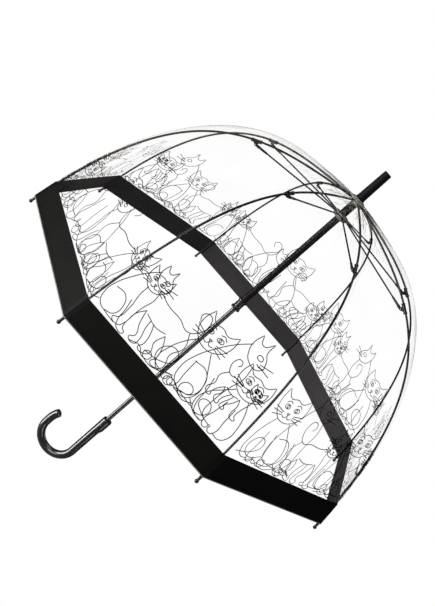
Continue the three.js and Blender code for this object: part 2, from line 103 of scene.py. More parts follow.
class Wire:
    """A node tree's output socket. Arithmetic on it adds Math nodes to the tree."""

    def __init__(self, tree, socket=None):
        self.tree = tree
        self.socket = socket

    def node(self, kind, settings=None, inputs=None, output=0):
        """Adds one node: its settings first, then its sockets' values or links."""
        made = self.tree.nodes.new(kind)
        for name, value in (settings or {}).items():
            if name == "stops":
                ramp = made.color_ramp.elements
                while len(ramp) < len(value):
                    ramp.new(0.5)
                for element, (place, shade) in zip(ramp, value):
                    element.position = place
                    element.color = (shade, shade, shade, 1) if isinstance(shade, float) else (*shade, 1)
            else:
                setattr(made, name, value)
        for name, value in (inputs or {}).items():
            if isinstance(value, Wire):
                self.tree.links.new(value.socket, made.inputs[name])
            else:
                made.inputs[name].default_value = value
        return Wire(self.tree, made.outputs[output] if made.outputs else None)

    def math(self, operation, first, second=0.0):
        return self.node("ShaderNodeMath", {"operation": operation}, {0: first, 1: second})

    def clamped(self):
        return self.node("ShaderNodeClamp", None, {0: self})

    def __add__(self, other):
        return self.math("ADD", self, other)

    def __radd__(self, other):
        return self.math("ADD", other, self)

    def __sub__(self, other):
        return self.math("SUBTRACT", self, other)

    def __rsub__(self, other):
        return self.math("SUBTRACT", other, self)

    def __mul__(self, other):
        return self.math("MULTIPLY", self, other)

    def __rmul__(self, other):
        return self.math("MULTIPLY", other, self)

    def __truediv__(self, other):
        return self.math("DIVIDE", self, other)

    def __pow__(self, other):
        return self.math("POWER", self, other)


def white_when_seen(tree, unseen, white, end):
    """Ends a node tree that shows plain white to the camera and another shader to all else."""
    seen = tree.node("ShaderNodeLightPath", output=0)
    mixed = tree.node("ShaderNodeMixShader", None, {0: seen, 1: unseen, 2: white})
    tree.node(end, None, {"Surface": mixed})


SURROUND = 0.035  # how bright the room is away from the lights
world = bpy.data.worlds.new("sweep")
scene.world = world
world.use_nodes = True
world.node_tree.nodes.clear()
tree = Wire(world.node_tree)
white = tree.node("ShaderNodeBackground", None, {"Color": (1, 1, 1, 1), "Strength": 1.0})
room = tree.node("ShaderNodeBackground", None, {"Color": (0.95, 0.97, 1, 1), "Strength": SURROUND})
white_when_seen(tree, room, white, "ShaderNodeOutputWorld")

FLOOR_SIZE = 14
FLOOR_DROP = 2.6  # below the umbrella, which hangs in the air
floor_mesh = bmesh.new()
bmesh.ops.create_grid(floor_mesh, x_segments=1, y_segments=1, size=FLOOR_SIZE / 2)
bmesh.ops.translate(floor_mesh, verts=floor_mesh.verts, vec=(0, 0, cad_box[0].z - FLOOR_DROP))
floor = bpy.data.objects.new("floor", bpy.data.meshes.new("floor"))
floor_mesh.to_mesh(floor.data)
floor_mesh.free()
scene.collection.objects.link(floor)
floor_white = bpy.data.materials.new("floor_white")
floor_white.use_nodes = True
floor_white.node_tree.nodes.clear()
tree = Wire(floor_white.node_tree)
glow = tree.node("ShaderNodeEmission", None, {"Color": (1, 1, 1, 1), "Strength": 1.0})
paper = tree.node("ShaderNodeBsdfDiffuse", None, {"Color": (0.35, 0.35, 0.35, 1)})
white_when_seen(tree, paper, glow, "ShaderNodeOutputMaterial")
floor.data.materials.append(floor_white)


def soft_light(name, place, size, power, aim=AIM):
    """A rectangular soft light at place, with its long side upright, facing aim."""
    lamp = bpy.data.objects.new(name, bpy.data.lights.new(name, "AREA"))
    lamp.data.shape = "RECTANGLE"
    lamp.data.size, lamp.data.size_y = size
    lamp.data.energy = power
    lamp.location = place
    lamp.rotation_mode = "QUATERNION"
    lamp.rotation_quaternion = (aim - Vector(place)).to_track_quat("-Z", "Y")
    lamp.visible_camera = False
    scene.collection.objects.link(lamp)


soft_light("left_strip", (-1.88, -0.98, -0.45), (0.75, 2.7), 62, aim=Vector((0, 0, -0.45)))
soft_light("left_fill", (-0.85, -2.0, 1.0), (0.8, 2.6), 18, aim=Vector((0, 0, 0.6)))
soft_light("right_strip", (1.9, -1.5, -0.3), (0.30, 2.4), 10, aim=Vector((0, 0, -0.3)))
soft_light("overhead", (-0.4, 0.1, 2.6), (2.0, 1.6), 12)
soft_light("behind", (1.7, 1.9, 1.3), (0.8, 2.0), 8)

# ---- Shaft ----
# A thin steel tube, enamelled black, that runs from inside the handle to inside the ferrule. It is slotted
# for the two catches.


def finished(bm, name, sharp_deg=38):
    """A bmesh as a new object with smooth faces and sharp corners."""
    for face in bm.faces:
        face.smooth = True
    mesh = bpy.data.meshes.new(name)
    bm.to_mesh(mesh)
    bm.free()
    mesh.set_sharp_from_angle(angle=radians(sharp_deg))
    made = bpy.data.objects.new(name, mesh)
    scene.collection.objects.link(made)
    return made


def turned_mesh(profile, steps=48):
    """A closed shape turned about the shaft, from (radius, height) pairs in millimetres."""
    bm = bmesh.new()
    points = [bm.verts.new((radius * MM, 0, height * MM)) for radius, height in profile]
    loop = points + ([] if profile[0][0] == profile[-1][0] == 0 else points[:1])
    edges = [bm.edges.new(pair) for pair in zip(loop, loop[1:])]
    bmesh.ops.spin(
        bm, geom=points + edges, axis=(0, 0, 1), cent=(0, 0, 0), angle=2 * pi, steps=steps, use_merge=True
    )
    bmesh.ops.remove_doubles(bm, verts=bm.verts, dist=1e-6)
    bmesh.ops.dissolve_degenerate(bm, edges=bm.edges, dist=1e-7)
    bmesh.ops.recalc_face_normals(bm, faces=bm.faces)
    return bm


def settled(made, sharp_deg):
    """Applies an object's modifiers to its mesh, and marks its sharp corners again."""
    graph = bpy.context.evaluated_depsgraph_get()
    mesh = bpy.data.meshes.new_from_object(made.evaluated_get(graph))
    made.modifiers.clear()
    made.data = mesh
    mesh.set_sharp_from_angle(angle=radians(sharp_deg))
    return made


def cut_out(made, cutter, edge=0.0, operation="DIFFERENCE"):
    """Cuts the cutter bmesh out of an object, or adds it, and rounds the corners by edge millimetres."""
    tool = finished(cutter, made.name + "_cutter")
    boolean = made.modifiers.new("cut", "BOOLEAN")
    boolean.object = tool
    boolean.operation = operation
    boolean.solver = "EXACT"
    if edge:
        rounding = made.modifiers.new("edge", "BEVEL")
        rounding.width = edge * MM
        rounding.segments = 2
        rounding.limit_method = "ANGLE"
        rounding.angle_limit = radians(40)
    settled(made, 38)
    bpy.data.objects.remove(tool)
    return made


def blocks(boxes):
    """Boxes for a cutter, each as its low and high corners in millimetres and a turn about the shaft."""
    bm = bmesh.new()
    for low, high, turn in boxes:
        middle = Matrix.Translation([(a + b) / 2 * MM for a, b in zip(low, high)])
        size = Matrix.Diagonal([(b - a) * MM for a, b in zip(low, high)] + [1])
        bmesh.ops.create_cube(bm, size=1, matrix=Matrix.Rotation(turn, 4, "Z") @ middle @ size)
    return bm


def noise_at(tree, place, scale, detail=3.0, roughness=0.5, stretch=(1, 1, 1)):
    """A noise pattern fixed to the umbrella: scale is in waves per metre."""
    mapped = tree.node("ShaderNodeMapping", None, {"Vector": place, "Scale": stretch})
    inputs = {"Vector": mapped, "Scale": scale, "Detail": detail, "Roughness": roughness}
    return tree.node("ShaderNodeTexNoise", None, inputs)


def blend(tree, share, dark, light):
    """A colour that goes from dark to light as share does from 0 to 1."""
    inputs = {0: share, 6: (*dark, 1), 7: (*light, 1)}
    return tree.node("ShaderNodeMix", {"data_type": "RGBA"}, inputs, output=2)


def bumped(tree, strength, distance, height):
    """The normal of a surface with a faint relief."""
    return tree.node("ShaderNodeBump", None, {"Strength": strength, "Distance": distance, "Height": height})


def material(name):
    """A new empty material, its node tree as a Wire, and the piece's own coordinates."""
    made = bpy.data.materials.new(name)
    made.use_nodes = True
    made.node_tree.nodes.clear()
    tree = Wire(made.node_tree)
    place = tree.node("ShaderNodeTexCoord", output="Object")
    return made, tree, place


def surfaced(made, tree, inputs):
    """Ends a material with its surface."""
    surface = tree.node("ShaderNodeBsdfPrincipled", None, inputs)
    tree.node("ShaderNodeOutputMaterial", None, {"Surface": surface})
    return made


def moulded(
    name, dark, light, roughness, grain, bump, coat=0.0, metallic=0.0, stretch=(1, 1, 1), wear=0.0, gloss=0.4
):
    """A moulded or enamelled finish: slow changes of shade, fine grain in the gloss and a faint relief."""
    made, tree, place = material(name)
    slow = noise_at(tree, place, 30, 2.0, stretch=stretch)
    fine = noise_at(tree, place, grain, 4.0, 0.6, stretch)
    scratch = noise_at(tree, place, grain * 0.4, 5.0, 0.7, tuple(3 * s for s in stretch))
    scuffed = ((scratch - 0.62) * 8).clamped() * wear
    return surfaced(made, tree, {
        "Base Color": blend(tree, (slow * 0.8 + scuffed).clamped(), dark, light),
        "Roughness": (roughness - 0.02) + fine * 0.04 + scuffed * 0.12,
        "Metallic": metallic,
        "Specular IOR Level": gloss,
        "Coat Weight": coat,
        "Coat Roughness": 0.08,
        "Normal": bumped(tree, bump, 0.0001, fine * 0.04 + slow),
    })


def fitted(made, body, slot_name, finish, *nodes):
    """Gives a finished piece its material and its body, and hides the CAD nodes that it stands for; its slot
    name is not used.
    """
    made.data.materials.clear()
    made.data.materials.append(finish)
    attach(made, body)
    if nodes:
        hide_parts(*nodes)
    return made


def heights(node):
    """A node's lowest and highest height in millimetres."""
    low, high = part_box(node)
    return low.z / MM, high.z / MM


SHAFT_RADIUS = 5
SHAFT_WALL = 0.8
CATCH_SLOT_HALF = 0.9
SLOT_PLAY = 0.3

black_enamel = moulded(
    "black_enamel", (0.012, 0.012, 0.013), (0.022, 0.022, 0.024), 0.22, 900, 0.1, coat=1.0,
    stretch=(1, 1, 0.15), wear=0.1, gloss=0.9,
)
shaft_low, shaft_high = heights("shaft")
shaft = finished(
    turned_mesh([
        (SHAFT_RADIUS - SHAFT_WALL, shaft_low),
        (SHAFT_RADIUS, shaft_low),
        (SHAFT_RADIUS, shaft_high - 0.3),
        (SHAFT_RADIUS - 0.3, shaft_high),
        (SHAFT_RADIUS - SHAFT_WALL, shaft_high),
    ], 40),
    "shaft_tube",
)
slots = []
for node in ("top_catch", "bottom_catch"):
    slot_low, slot_high = heights(node)
    slots.append((
        (-CATCH_SLOT_HALF, 0, slot_low - SLOT_PLAY),
        (CATCH_SLOT_HALF, SHAFT_RADIUS + 3, slot_high + SLOT_PLAY),
        0,
    ))
cut_out(shaft, blocks(slots))
fitted(shaft, "frame", "shaft_steel", black_enamel, "shaft")

# ---- Pins and catches ----
# Bright spring-steel bits: the stop pin across the shaft under the crown, the pin that holds the handle on,
# and the two pressed catches that hold the runner up and down.
plated_steel = moulded(
    "plated_steel", (0.42, 0.42, 0.43), (0.62, 0.62, 0.63), 0.24, 1500, 0.12,
    metallic=1.0, stretch=(1, 1, 0.2),
)


def cross_rod(node, play=0.0, length=None):
    """A rod across the shaft in a pin's place, or a cutter for its hole: wider by play, and longer."""
    low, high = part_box(node)
    radius = (high.x - low.x) / 2 + play * MM
    bm = bmesh.new()
    bmesh.ops.create_cone(
        bm, cap_ends=True, segments=24, radius1=radius, radius2=radius,
        depth=length * MM if length else high.y - low.y,
        matrix=Matrix.Translation((low + high) / 2) @ Matrix.Rotation(pi / 2, 4, "X"),
    )
    return bm


def rounded(bm, edges, size, steps):
    """Rounds some edges by a size in millimetres."""
    bmesh.ops.bevel(
        bm, geom=edges, offset=size * MM, affect="EDGES", segments=steps, profile=0.5, material=-1
    )


def cross_pin(name, node):
    """A round-ended pin across the shaft."""
    bm = cross_rod(node)
    rounded(bm, [e for e in bm.edges if len(e.link_faces) == 2 and e.calc_face_angle() > 1], 0.3, 3)
    return fitted(finished(bm, name), "frame", "bright_steel", plated_steel, node)


cross_pin("runner_stop_pin", "stop_pin")
cross_pin("handle_cross_pin", "handle_pin")


def plate(bm, faces, thickness):
    """Gives flat faces their thickness, as a vector in metres."""
    raised = bmesh.ops.extrude_face_region(bm, geom=faces)["geom"]
    moved = [item for item in raised if isinstance(item, bmesh.types.BMVert)]
    bmesh.ops.translate(bm, verts=moved, vec=thickness)
    bmesh.ops.recalc_face_normals(bm, faces=bm.faces)


def catch_blade(name, node, flat_up):
    """A pressed blade in its slot: a square shoulder at one end and a slope towards the other."""
    low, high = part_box(node)
    shoulder, toe = (high.z, low.z) if flat_up else (low.z, high.z)
    lip = shoulder + (toe - shoulder) * 0.11
    outline = [(low.y, shoulder), (high.y, shoulder), (high.y, lip), (SHAFT_RADIUS * MM, toe), (low.y, toe)]
    bm = bmesh.new()
    plate(bm, [bm.faces.new([bm.verts.new((low.x, y, z)) for y, z in outline])], (high.x - low.x, 0, 0))
    rounded(bm, list(bm.edges), 0.15, 2)
    return fitted(finished(bm, name), node, "bright_steel", plated_steel, node)


catch_blade("top_catch_blade", "top_catch", True)
catch_blade("bottom_catch_blade", "bottom_catch", False)

# ---- Handle ----
# A crook of glossy black plastic, moulded in one piece round the shaft's end. Its collar is thicker on the
# side away from the hook only, with a shoulder that slopes down to the grip.
GRIP_RADIUS = 9.3
CROOK_RADIUS = 43
CROOK_CENTRE_DROP = 55  # below the origin
HOOK_STRAIGHT = 12
HOOK_END_RADIUS = 60
HOOK_END_TURN = radians(26.5)
HOOK_END_ROUNDING = 1.6
COLLAR_SWELL = 3.0  # how far the collar stands out on its thick side
COLLAR_LENGTH = 40
SHOULDER_LENGTH = 13
RIM_ROUNDING = 1.4
MOUTH_PLAY = 1.6  # round the shaft, in the recess at the handle's top
MOUTH_DEPTH = 2.2
PIN_PLAY = 0.1
handle_top = heights("crook_handle")[1]


def loft(bm, stations, sides):
    """Rings bridged one after the other. A station is the matrix that places a ring of radius 1."""
    first = previous = None
    for place in stations:
        ring = bmesh.ops.create_circle(bm, cap_ends=False, segments=sides, radius=1, matrix=place)["verts"]
        edges = list({edge for vert in ring for edge in vert.link_edges})
        if previous:
            bmesh.ops.bridge_loops(bm, edges=previous + edges)
        first = first or edges
        previous = edges
    bmesh.ops.holes_fill(bm, edges=first + previous, sides=0)
    bmesh.ops.recalc_face_normals(bm, faces=bm.faces)
    return bm


def station(point, along, across, radius, side_radius=None):
    """The place of one ring: its centre, the way the loft runs, one side of the ring and its half sizes."""
    third = along.cross(across).normalized()
    turn = Matrix((across, third, along)).transposed().to_4x4()
    size = Matrix.Diagonal((radius * MM, (side_radius or radius) * MM, MM, 1))
    return Matrix.Translation(point * MM) @ turn @ size


def smooth_step(share):
    """0 below 0, 1 above 1, and an even ease between."""
    share = min(max(share, 0.0), 1.0)
    return share * share * (3 - 2 * share)


def handle_stations():
    """From the collar's rim down the grip, round the crook and up to the hook's end."""
    side = Vector((1, 0, 0))
    down = Vector((0, 0, -1))
    for drop in (0, 0.15, 0.5, 1.0, RIM_ROUNDING, 6, 14, 22, COLLAR_LENGTH - SHOULDER_LENGTH):
        from_round = 1 - min(drop / RIM_ROUNDING, 1)
        inset = RIM_ROUNDING * (1 - sqrt(max(0.0, 1 - from_round ** 2)))
        middle = Vector((COLLAR_SWELL / 2, 0, handle_top - drop))
        radius = GRIP_RADIUS - inset
        yield station(middle, down, side, radius + COLLAR_SWELL / 2, radius + COLLAR_SWELL / 3)
    for i in range(1, 9):
        share = i / 8
        swell = COLLAR_SWELL * (1 - smooth_step(share))
        drop = COLLAR_LENGTH - SHOULDER_LENGTH * (1 - share)
        middle = Vector((swell / 2, 0, handle_top - drop))
        yield station(middle, down, side, GRIP_RADIUS + swell / 2, GRIP_RADIUS + swell / 3)
    centre = Vector((-CROOK_RADIUS, 0, -CROOK_CENTRE_DROP))
    grip_low = handle_top - COLLAR_LENGTH
    for i in range(1, 6):
        height = grip_low + (centre.z - grip_low) * i / 6
        yield station(Vector((0, 0, height)), down, side, GRIP_RADIUS)
    for i in range(41):
        turn = -pi * i / 40
        outward = Vector((cos(turn), 0, sin(turn)))
        along = Vector((sin(turn), 0, -cos(turn)))
        yield station(centre + outward * CROOK_RADIUS, along, outward, GRIP_RADIUS)
    start = Vector((-2 * CROOK_RADIUS, 0, centre.z + HOOK_STRAIGHT))
    end_centre = start + Vector((HOOK_END_RADIUS, 0, 0))
    round_turn = HOOK_END_ROUNDING / HOOK_END_RADIUS
    turns = [HOOK_END_TURN * i / 8 for i in range(9)]
    turns[-1] -= round_turn
    tip = [
        (turns[-1] + round_turn * share, HOOK_END_ROUNDING * (1 - sqrt(1 - share * share)))
        for share in (0.35, 0.65, 0.88, 1.0)
    ]
    for past, inset in [(turn, 0) for turn in turns] + tip:
        outward = Vector((-cos(past), 0, sin(past)))
        along = Vector((sin(past), 0, cos(past)))
        yield station(end_centre + outward * HOOK_END_RADIUS, along, outward, GRIP_RADIUS - inset)


def disc_cutter(radius, low, high):
    """A round cutter about the shaft."""
    bm = bmesh.new()
    bmesh.ops.create_cone(
        bm, cap_ends=True, segments=48, radius1=radius * MM, radius2=radius * MM, depth=(high - low) * MM,
        matrix=Matrix.Translation((0, 0, (low + high) / 2 * MM)),
    )
    return bm


handle_gloss = moulded(
    "handle_gloss", (0.018, 0.018, 0.016), (0.026, 0.026, 0.024), 0.27, 700, 0.1,
    coat=1.0, wear=0.05, gloss=0.9,
)
handle = finished(loft(bmesh.new(), handle_stations(), 40), "crook_grip", 50)
cut_out(handle, disc_cutter(SHAFT_RADIUS + MOUTH_PLAY, handle_top - MOUTH_DEPTH, handle_top + 3))
cut_out(handle, disc_cutter(SHAFT_RADIUS + SLOT_PLAY, shaft_low - SLOT_PLAY, handle_top))
cut_out(handle, cross_rod("handle_pin", PIN_PLAY, 60))
fitted(handle, "frame", "handle_plastic", handle_gloss, "crook_handle")

# ---- Runner ----
# What the hand pushes up: a long black plastic tube on the shaft, a spool-shaped thumb collar pressed on its
# lower end, and near its top a slotted hub whose wire ring carries the eight stretchers.
TUBE_RADIUS = 7
NECK_WALL = 1.3  # how much thicker the tube is above the hub
COLLAR_RADIUS = 10.5
COLLAR_WAIST = 8.5
COLLAR_ROUNDING = 1.2
COLLAR_FLANGE = 4.6
BEAD_HEIGHT = 0.28
BEAD_PITCH = 2.6
BEADS_END = 5.2  # how far the grip beads reach from the waist's middle
WINDOW_ABOVE_COLLAR = 4  # where the top catch comes out through the tube
WINDOW_LENGTH = 15.6
HUB_RADIUS = 16
HUB_PIVOT_RADIUS = 11
WIRE_RADIUS = 0.7
TONGUE_RADIUS = 2.3
TONGUE_THICKNESS = 1.4
SLOT_EDGE = 0.25  # how far the corners of the hub and the notch are rounded
RIB_COUNT = 8
SPOKES = [pi / RIB_COUNT + i * 2 * pi / RIB_COUNT for i in range(RIB_COUNT)]

runner_black = moulded(
    "runner_black", (0.005, 0.005, 0.005), (0.010, 0.010, 0.010), 0.38, 1100, 0.1,
    stretch=(1, 1, 0.4), wear=0.1, gloss=0.15,
)
collar_gloss = moulded(
    "collar_gloss", (0.004, 0.004, 0.004), (0.010, 0.010, 0.010), 0.16, 900, 0.1, coat=0.9, wear=0.1
)
hub_grey = moulded("hub_grey", (0.22, 0.20, 0.19), (0.32, 0.30, 0.28), 0.45, 1000, 0.2, wear=0.2)

tube_low, tube_high = heights("runner_tube")
collar_low, collar_high = heights("runner_collar")
bore = SHAFT_RADIUS + SLOT_PLAY
hub_low, hub_high = heights("runner_hub")
neck_low = hub_high + SLOT_PLAY
neck_radius = TUBE_RADIUS + NECK_WALL
tube = finished(
    turned_mesh([
        (bore, tube_low),
        (TUBE_RADIUS, tube_low),
        (TUBE_RADIUS, neck_low),
        (neck_radius - 0.3, neck_low),
        (neck_radius, neck_low + 0.3),
        (neck_radius, tube_high - 1.2),
        (neck_radius - 0.35, tube_high - 0.35),
        (neck_radius - 1.1, tube_high),
        (bore, tube_high),
    ], 48),
    "runner_sleeve",
)
window_low = collar_high + WINDOW_ABOVE_COLLAR
window_high = window_low + WINDOW_LENGTH
window = ((-CATCH_SLOT_HALF, 0, window_low), (CATCH_SLOT_HALF, TUBE_RADIUS + 5, window_high), 0)
cut_out(tube, blocks([window]))
fitted(tube, "runner", "runner_plastic", runner_black, "runner_tube")


def spool_profile():
    """The thumb collar's outside: two rounded flanges with a waist between them and three grip beads."""
    inner = TUBE_RADIUS + SLOT_PLAY
    middle = (collar_low + collar_high) / 2
    half = (collar_high - collar_low) / 2
    outside = []
    for i in range(49):
        height = (-1 + 2 * i / 48) * half
        from_end = half - abs(height)
        if from_end < COLLAR_ROUNDING:
            inset = COLLAR_ROUNDING - from_end
            radius = COLLAR_RADIUS - COLLAR_ROUNDING + sqrt(max(0.0, COLLAR_ROUNDING ** 2 - inset ** 2))
        else:
            slope = smooth_step((from_end - COLLAR_FLANGE + 1.6) / 4.4)
            radius = COLLAR_RADIUS + (COLLAR_WAIST - COLLAR_RADIUS) * slope
        on_waist = smooth_step((BEADS_END - abs(height)) / 1.5)
        bead = BEAD_HEIGHT * max(0.0, cos(height * 2 * pi / BEAD_PITCH)) * on_waist
        outside.append((radius + bead, middle + height))
    return [(inner, collar_low), *outside, (inner, collar_high)]


collar = finished(turned_mesh(spool_profile(), 56), "thumb_collar")
fitted(collar, "runner", "runner_plastic", collar_gloss, "runner_collar")


def slotted(name, profile, pivot_radius, height, slot_low, slot_high):
    """A turned disc with a radial slot for each spoke and a groove in its rim for the pivot wire."""
    made = finished(turned_mesh(profile, 64), name)
    half = TONGUE_THICKNESS / 2 + SLOT_PLAY
    inner = pivot_radius - TONGUE_RADIUS - SLOT_PLAY
    spokes = [((inner, -half, slot_low), (2 * HUB_RADIUS, half, slot_high), turn) for turn in SPOKES]
    room = WIRE_RADIUS + SLOT_PLAY
    groove = turned_mesh([
        (pivot_radius - room, height - room),
        (2 * HUB_RADIUS, height - room),
        (2 * HUB_RADIUS, height + room),
        (pivot_radius - room, height + room),
    ], 64)
    cut_out(made, groove)
    return cut_out(made, blocks(spokes), SLOT_EDGE)


def pivot_wire(name, node, body, pivot_radius):
    """A ring of wire: a small circle spun about the shaft."""
    height = sum(heights(node)) / 2
    bm = bmesh.new()
    ring = bmesh.ops.create_circle(
        bm, cap_ends=False, segments=10, radius=WIRE_RADIUS * MM,
        matrix=Matrix.Translation((pivot_radius * MM, 0, height * MM)) @ Matrix.Rotation(pi / 2, 4, "X"),
    )["verts"]
    edges = list({edge for vert in ring for edge in vert.link_edges})
    bmesh.ops.spin(
        bm, geom=ring + edges, axis=(0, 0, 1), cent=(0, 0, 0), angle=2 * pi, steps=72, use_merge=True
    )
    bmesh.ops.remove_doubles(bm, verts=bm.verts, dist=1e-6)
    bmesh.ops.recalc_face_normals(bm, faces=bm.faces)
    return fitted(finished(bm, name), body, "bright_steel", plated_steel, node)


hub_height = sum(heights("runner_wire")) / 2
hub_bore = TUBE_RADIUS + SLOT_PLAY
hub_profile = [
    (hub_bore, hub_low),
    (HUB_RADIUS - 6.5, hub_low),
    (HUB_RADIUS - 5, hub_low + 0.6),
    (HUB_RADIUS - 1, hub_low + 2.8),
    (HUB_RADIUS, hub_low + 3.8),
    (HUB_RADIUS, hub_high - 1),
    (HUB_RADIUS - 1, hub_high),
    (hub_bore, hub_high),
]
hub = slotted(
    "runner_hub_body", hub_profile, HUB_PIVOT_RADIUS, hub_height,
    hub_height - TONGUE_RADIUS - 0.9, hub_high + 1,
)
fitted(hub, "runner", "runner_plastic", hub_grey, "runner_hub")
pivot_wire("runner_wire_ring", "runner_wire", "runner", HUB_PIVOT_RADIUS)

# ---- Crown ----
# The grey plastic notch that carries the ribs: a turned disc on the shaft, with a slot for each rib's eye
# and a groove for the wire ring that the eyes turn on.
NOTCH_RADIUS = 17
CROWN_PIVOT_RADIUS = 13

crown_grey = moulded("crown_grey", (0.42, 0.40, 0.38), (0.62, 0.60, 0.57), 0.40, 900, 0.2, wear=0.2)
notch_low, notch_high = heights("crown_notch")
crown_height = sum(heights("crown_wire")) / 2
notch_profile = [
    (bore, notch_low),
    (NOTCH_RADIUS - 1.5, notch_low),
    (NOTCH_RADIUS, notch_low + 1.5),
    (NOTCH_RADIUS, notch_high - 1),
    (NOTCH_RADIUS - 1, notch_high),
    (bore, notch_high),
]
notch = slotted(
    "crown_notch_body", notch_profile, CROWN_PIVOT_RADIUS, crown_height, notch_low - 1,
    crown_height + TONGUE_RADIUS + SLOT_PLAY,
)
fitted(notch, "frame", "grey_plastic", crown_grey, "crown_notch")
pivot_wire("crown_wire_ring", "crown_wire", "frame", CROWN_PIVOT_RADIUS)

# ---- Stop sleeve ----
# A short black plastic sleeve on the shaft, between the notch and the runner's top. It is turned, and bored
# for the stop pin that holds it.
sleeve_low, sleeve_high = tube_high + SLOT_PLAY, notch_low - SLOT_PLAY
stop_sleeve = finished(
    turned_mesh([
        (bore, sleeve_low),
        (neck_radius - 0.8, sleeve_low),
        (neck_radius, sleeve_low + 0.8),
        (neck_radius, sleeve_high),
        (bore, sleeve_high),
    ], 48),
    "stop_sleeve",
)
stop_low, stop_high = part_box("stop_pin")
cut_out(stop_sleeve, cross_rod("stop_pin", PIN_PLAY, (stop_high.y - stop_low.y) / MM + 4 * PIN_PLAY))
fitted(stop_sleeve, "frame", "ferrule_plastic", runner_black)

# ---- Washer and ferrule ----
# The grey washer that pinches the film down on the notch, and the long plain black sleeve, slightly tapered,
# that is pushed over the shaft's end.
WASHER_RADIUS = 14
FERRULE_BASE = 9.1
FERRULE_TIP = 8.2
FERRULE_ROUNDING = 1.3
FERRULE_RING = 0.5  # how far the low ring at its foot stands out

ferrule_black = moulded(
    "ferrule_black", (0.005, 0.005, 0.005), (0.010, 0.010, 0.009), 0.45, 800, 0.1,
    stretch=(1, 1, 0.5), wear=0.1, gloss=0.12,
)
washer_low, washer_high = heights("crown_washer")
washer = finished(
    turned_mesh([
        (bore, washer_low),
        (WASHER_RADIUS - 0.3, washer_low),
        (WASHER_RADIUS, washer_low + 0.3),
        (WASHER_RADIUS - 0.25, washer_low + 0.8),
        (WASHER_RADIUS - 1.0, washer_high),
        (bore, washer_high),
    ], 56),
    "film_washer",
)
fitted(washer, "frame", "grey_plastic", crown_grey, "crown_washer")

ferrule_low, ferrule_high = heights("ferrule")


def ferrule_profile():
    """A tapered sleeve with a low ring at its foot and a rounded rim round its flat end."""
    rim = [
        (FERRULE_TIP + FERRULE_ROUNDING * (cos(turn) - 1), ferrule_high + FERRULE_ROUNDING * (sin(turn) - 1))
        for turn in [pi / 10 * i for i in range(6)]
    ]
    inside_top = shaft_high + SLOT_PLAY
    return [
        (0, inside_top),
        (bore, inside_top),
        (bore, ferrule_low),
        (FERRULE_BASE + 0.1, ferrule_low),
        (FERRULE_BASE + FERRULE_RING, ferrule_low + 0.4),
        (FERRULE_BASE + FERRULE_RING, ferrule_low + 3.2),
        (FERRULE_BASE, ferrule_low + 3.8),
        *rim,
        (0, ferrule_high),
    ]


ferrule = finished(turned_mesh(ferrule_profile(), 48), "ferrule_cap")
fitted(ferrule, "frame", "ferrule_plastic", ferrule_black, "ferrule")

# ---- Ribs ----
# Eight black spring rods that bend from the crown down to the hem. Each is in two pieces that meet in the
# joint clip, with a flattened and drilled eye at the crown.
CROWN_SLOPE = radians(9.2)  # how steeply a rib leaves its pivot
CROWN_PULL = 228  # how long it keeps to that way
HEM_FLARE = radians(11)  # how far from upright it comes to the hem
HEM_PULL = 353
HEM_RADIUS = 431
HEM_HEIGHT = crown_height - 417
RIB_RADIUS = 2.0
RIB_JOINT_DISTANCE = 213
CLIP_LENGTH = 20
FLEX_DISTANCE = RIB_JOINT_DISTANCE + CLIP_LENGTH / 2 + 0.8
RIB_END_LENGTH = 11
TONGUE_LENGTH = 6

crown_pivot = Vector((CROWN_PIVOT_RADIUS, crown_height))
hem_point = Vector((HEM_RADIUS, HEM_HEIGHT))
rib_line = interpolate_bezier(
    crown_pivot,
    crown_pivot + Vector((cos(CROWN_SLOPE), -sin(CROWN_SLOPE))) * CROWN_PULL,
    hem_point + Vector((-sin(HEM_FLARE), cos(HEM_FLARE))) * HEM_PULL,
    hem_point,
    1201,
)
rib_runs = [0.0]
for here, there in zip(rib_line, rib_line[1:]):
    rib_runs.append(rib_runs[-1] + (there - here).length)
rib_length = rib_runs[-1]


def rib_way(distance):
    """The way a rib runs at a distance from its crown pivot, in its own plane."""
    spot = min(max(bisect(rib_runs, distance), 1), len(rib_line) - 1)
    return (rib_line[spot] - rib_line[spot - 1]).normalized()


def beside_rib(distance, outward=0.0):
    """A point in the rib's plane as (distance from the shaft, height), that far outside its centre line."""
    spot = min(max(bisect(rib_runs, distance), 1), len(rib_line) - 1)
    way = rib_way(distance)
    on_line = rib_line[spot - 1] + way * (distance - rib_runs[spot - 1])
    return on_line + Vector((-way.y, way.x)) * outward


def in_space(point):
    """A point of the rib's plane, in the XZ plane."""
    return Vector((point.x, 0, point.y))


def rod_stations(points, radii):
    """Stations for a rod in the XZ plane through points, each with its radius."""
    across = Vector((0, 1, 0))
    for i, (point, radius) in enumerate(zip(points, radii)):
        along = (points[min(i + 1, len(points) - 1)] - points[max(i - 1, 0)]).normalized()
        yield station(point, along, across, radius)


def round_ended(reach, radius, steps=4):
    """Distances and radii of a half-round end that starts at a point and runs out over reach."""
    return [
        (reach * (1 - cos(pi / 2 * i / steps)), radius * max(sin(pi / 2 * i / steps), 0.05))
        for i in range(steps)
    ]


def rib_rod(bm, start, end, spacing, start_round, end_round):
    """A rod along the rib's line with half-round ends."""
    ends = round_ended(RIB_RADIUS, RIB_RADIUS)
    runs = [(start + far, radius) for far, radius in ends] if start_round else []
    count = int((end - start - 2 * RIB_RADIUS) / spacing)
    straight = start + RIB_RADIUS * start_round
    stop = end - RIB_RADIUS * end_round
    runs += [(straight + (stop - straight) * i / count, RIB_RADIUS) for i in range(count + 1)]
    if end_round:
        runs += [(end - far, radius) for far, radius in reversed(ends)]
    points = []
    for run, radius in runs:
        past_hem = rib_way(run) * max(run - rib_length, 0)
        points.append(in_space(beside_rib(min(run, rib_length)) + past_hem))
    return loft(bm, rod_stations(points, [radius for run, radius in runs]), 12)


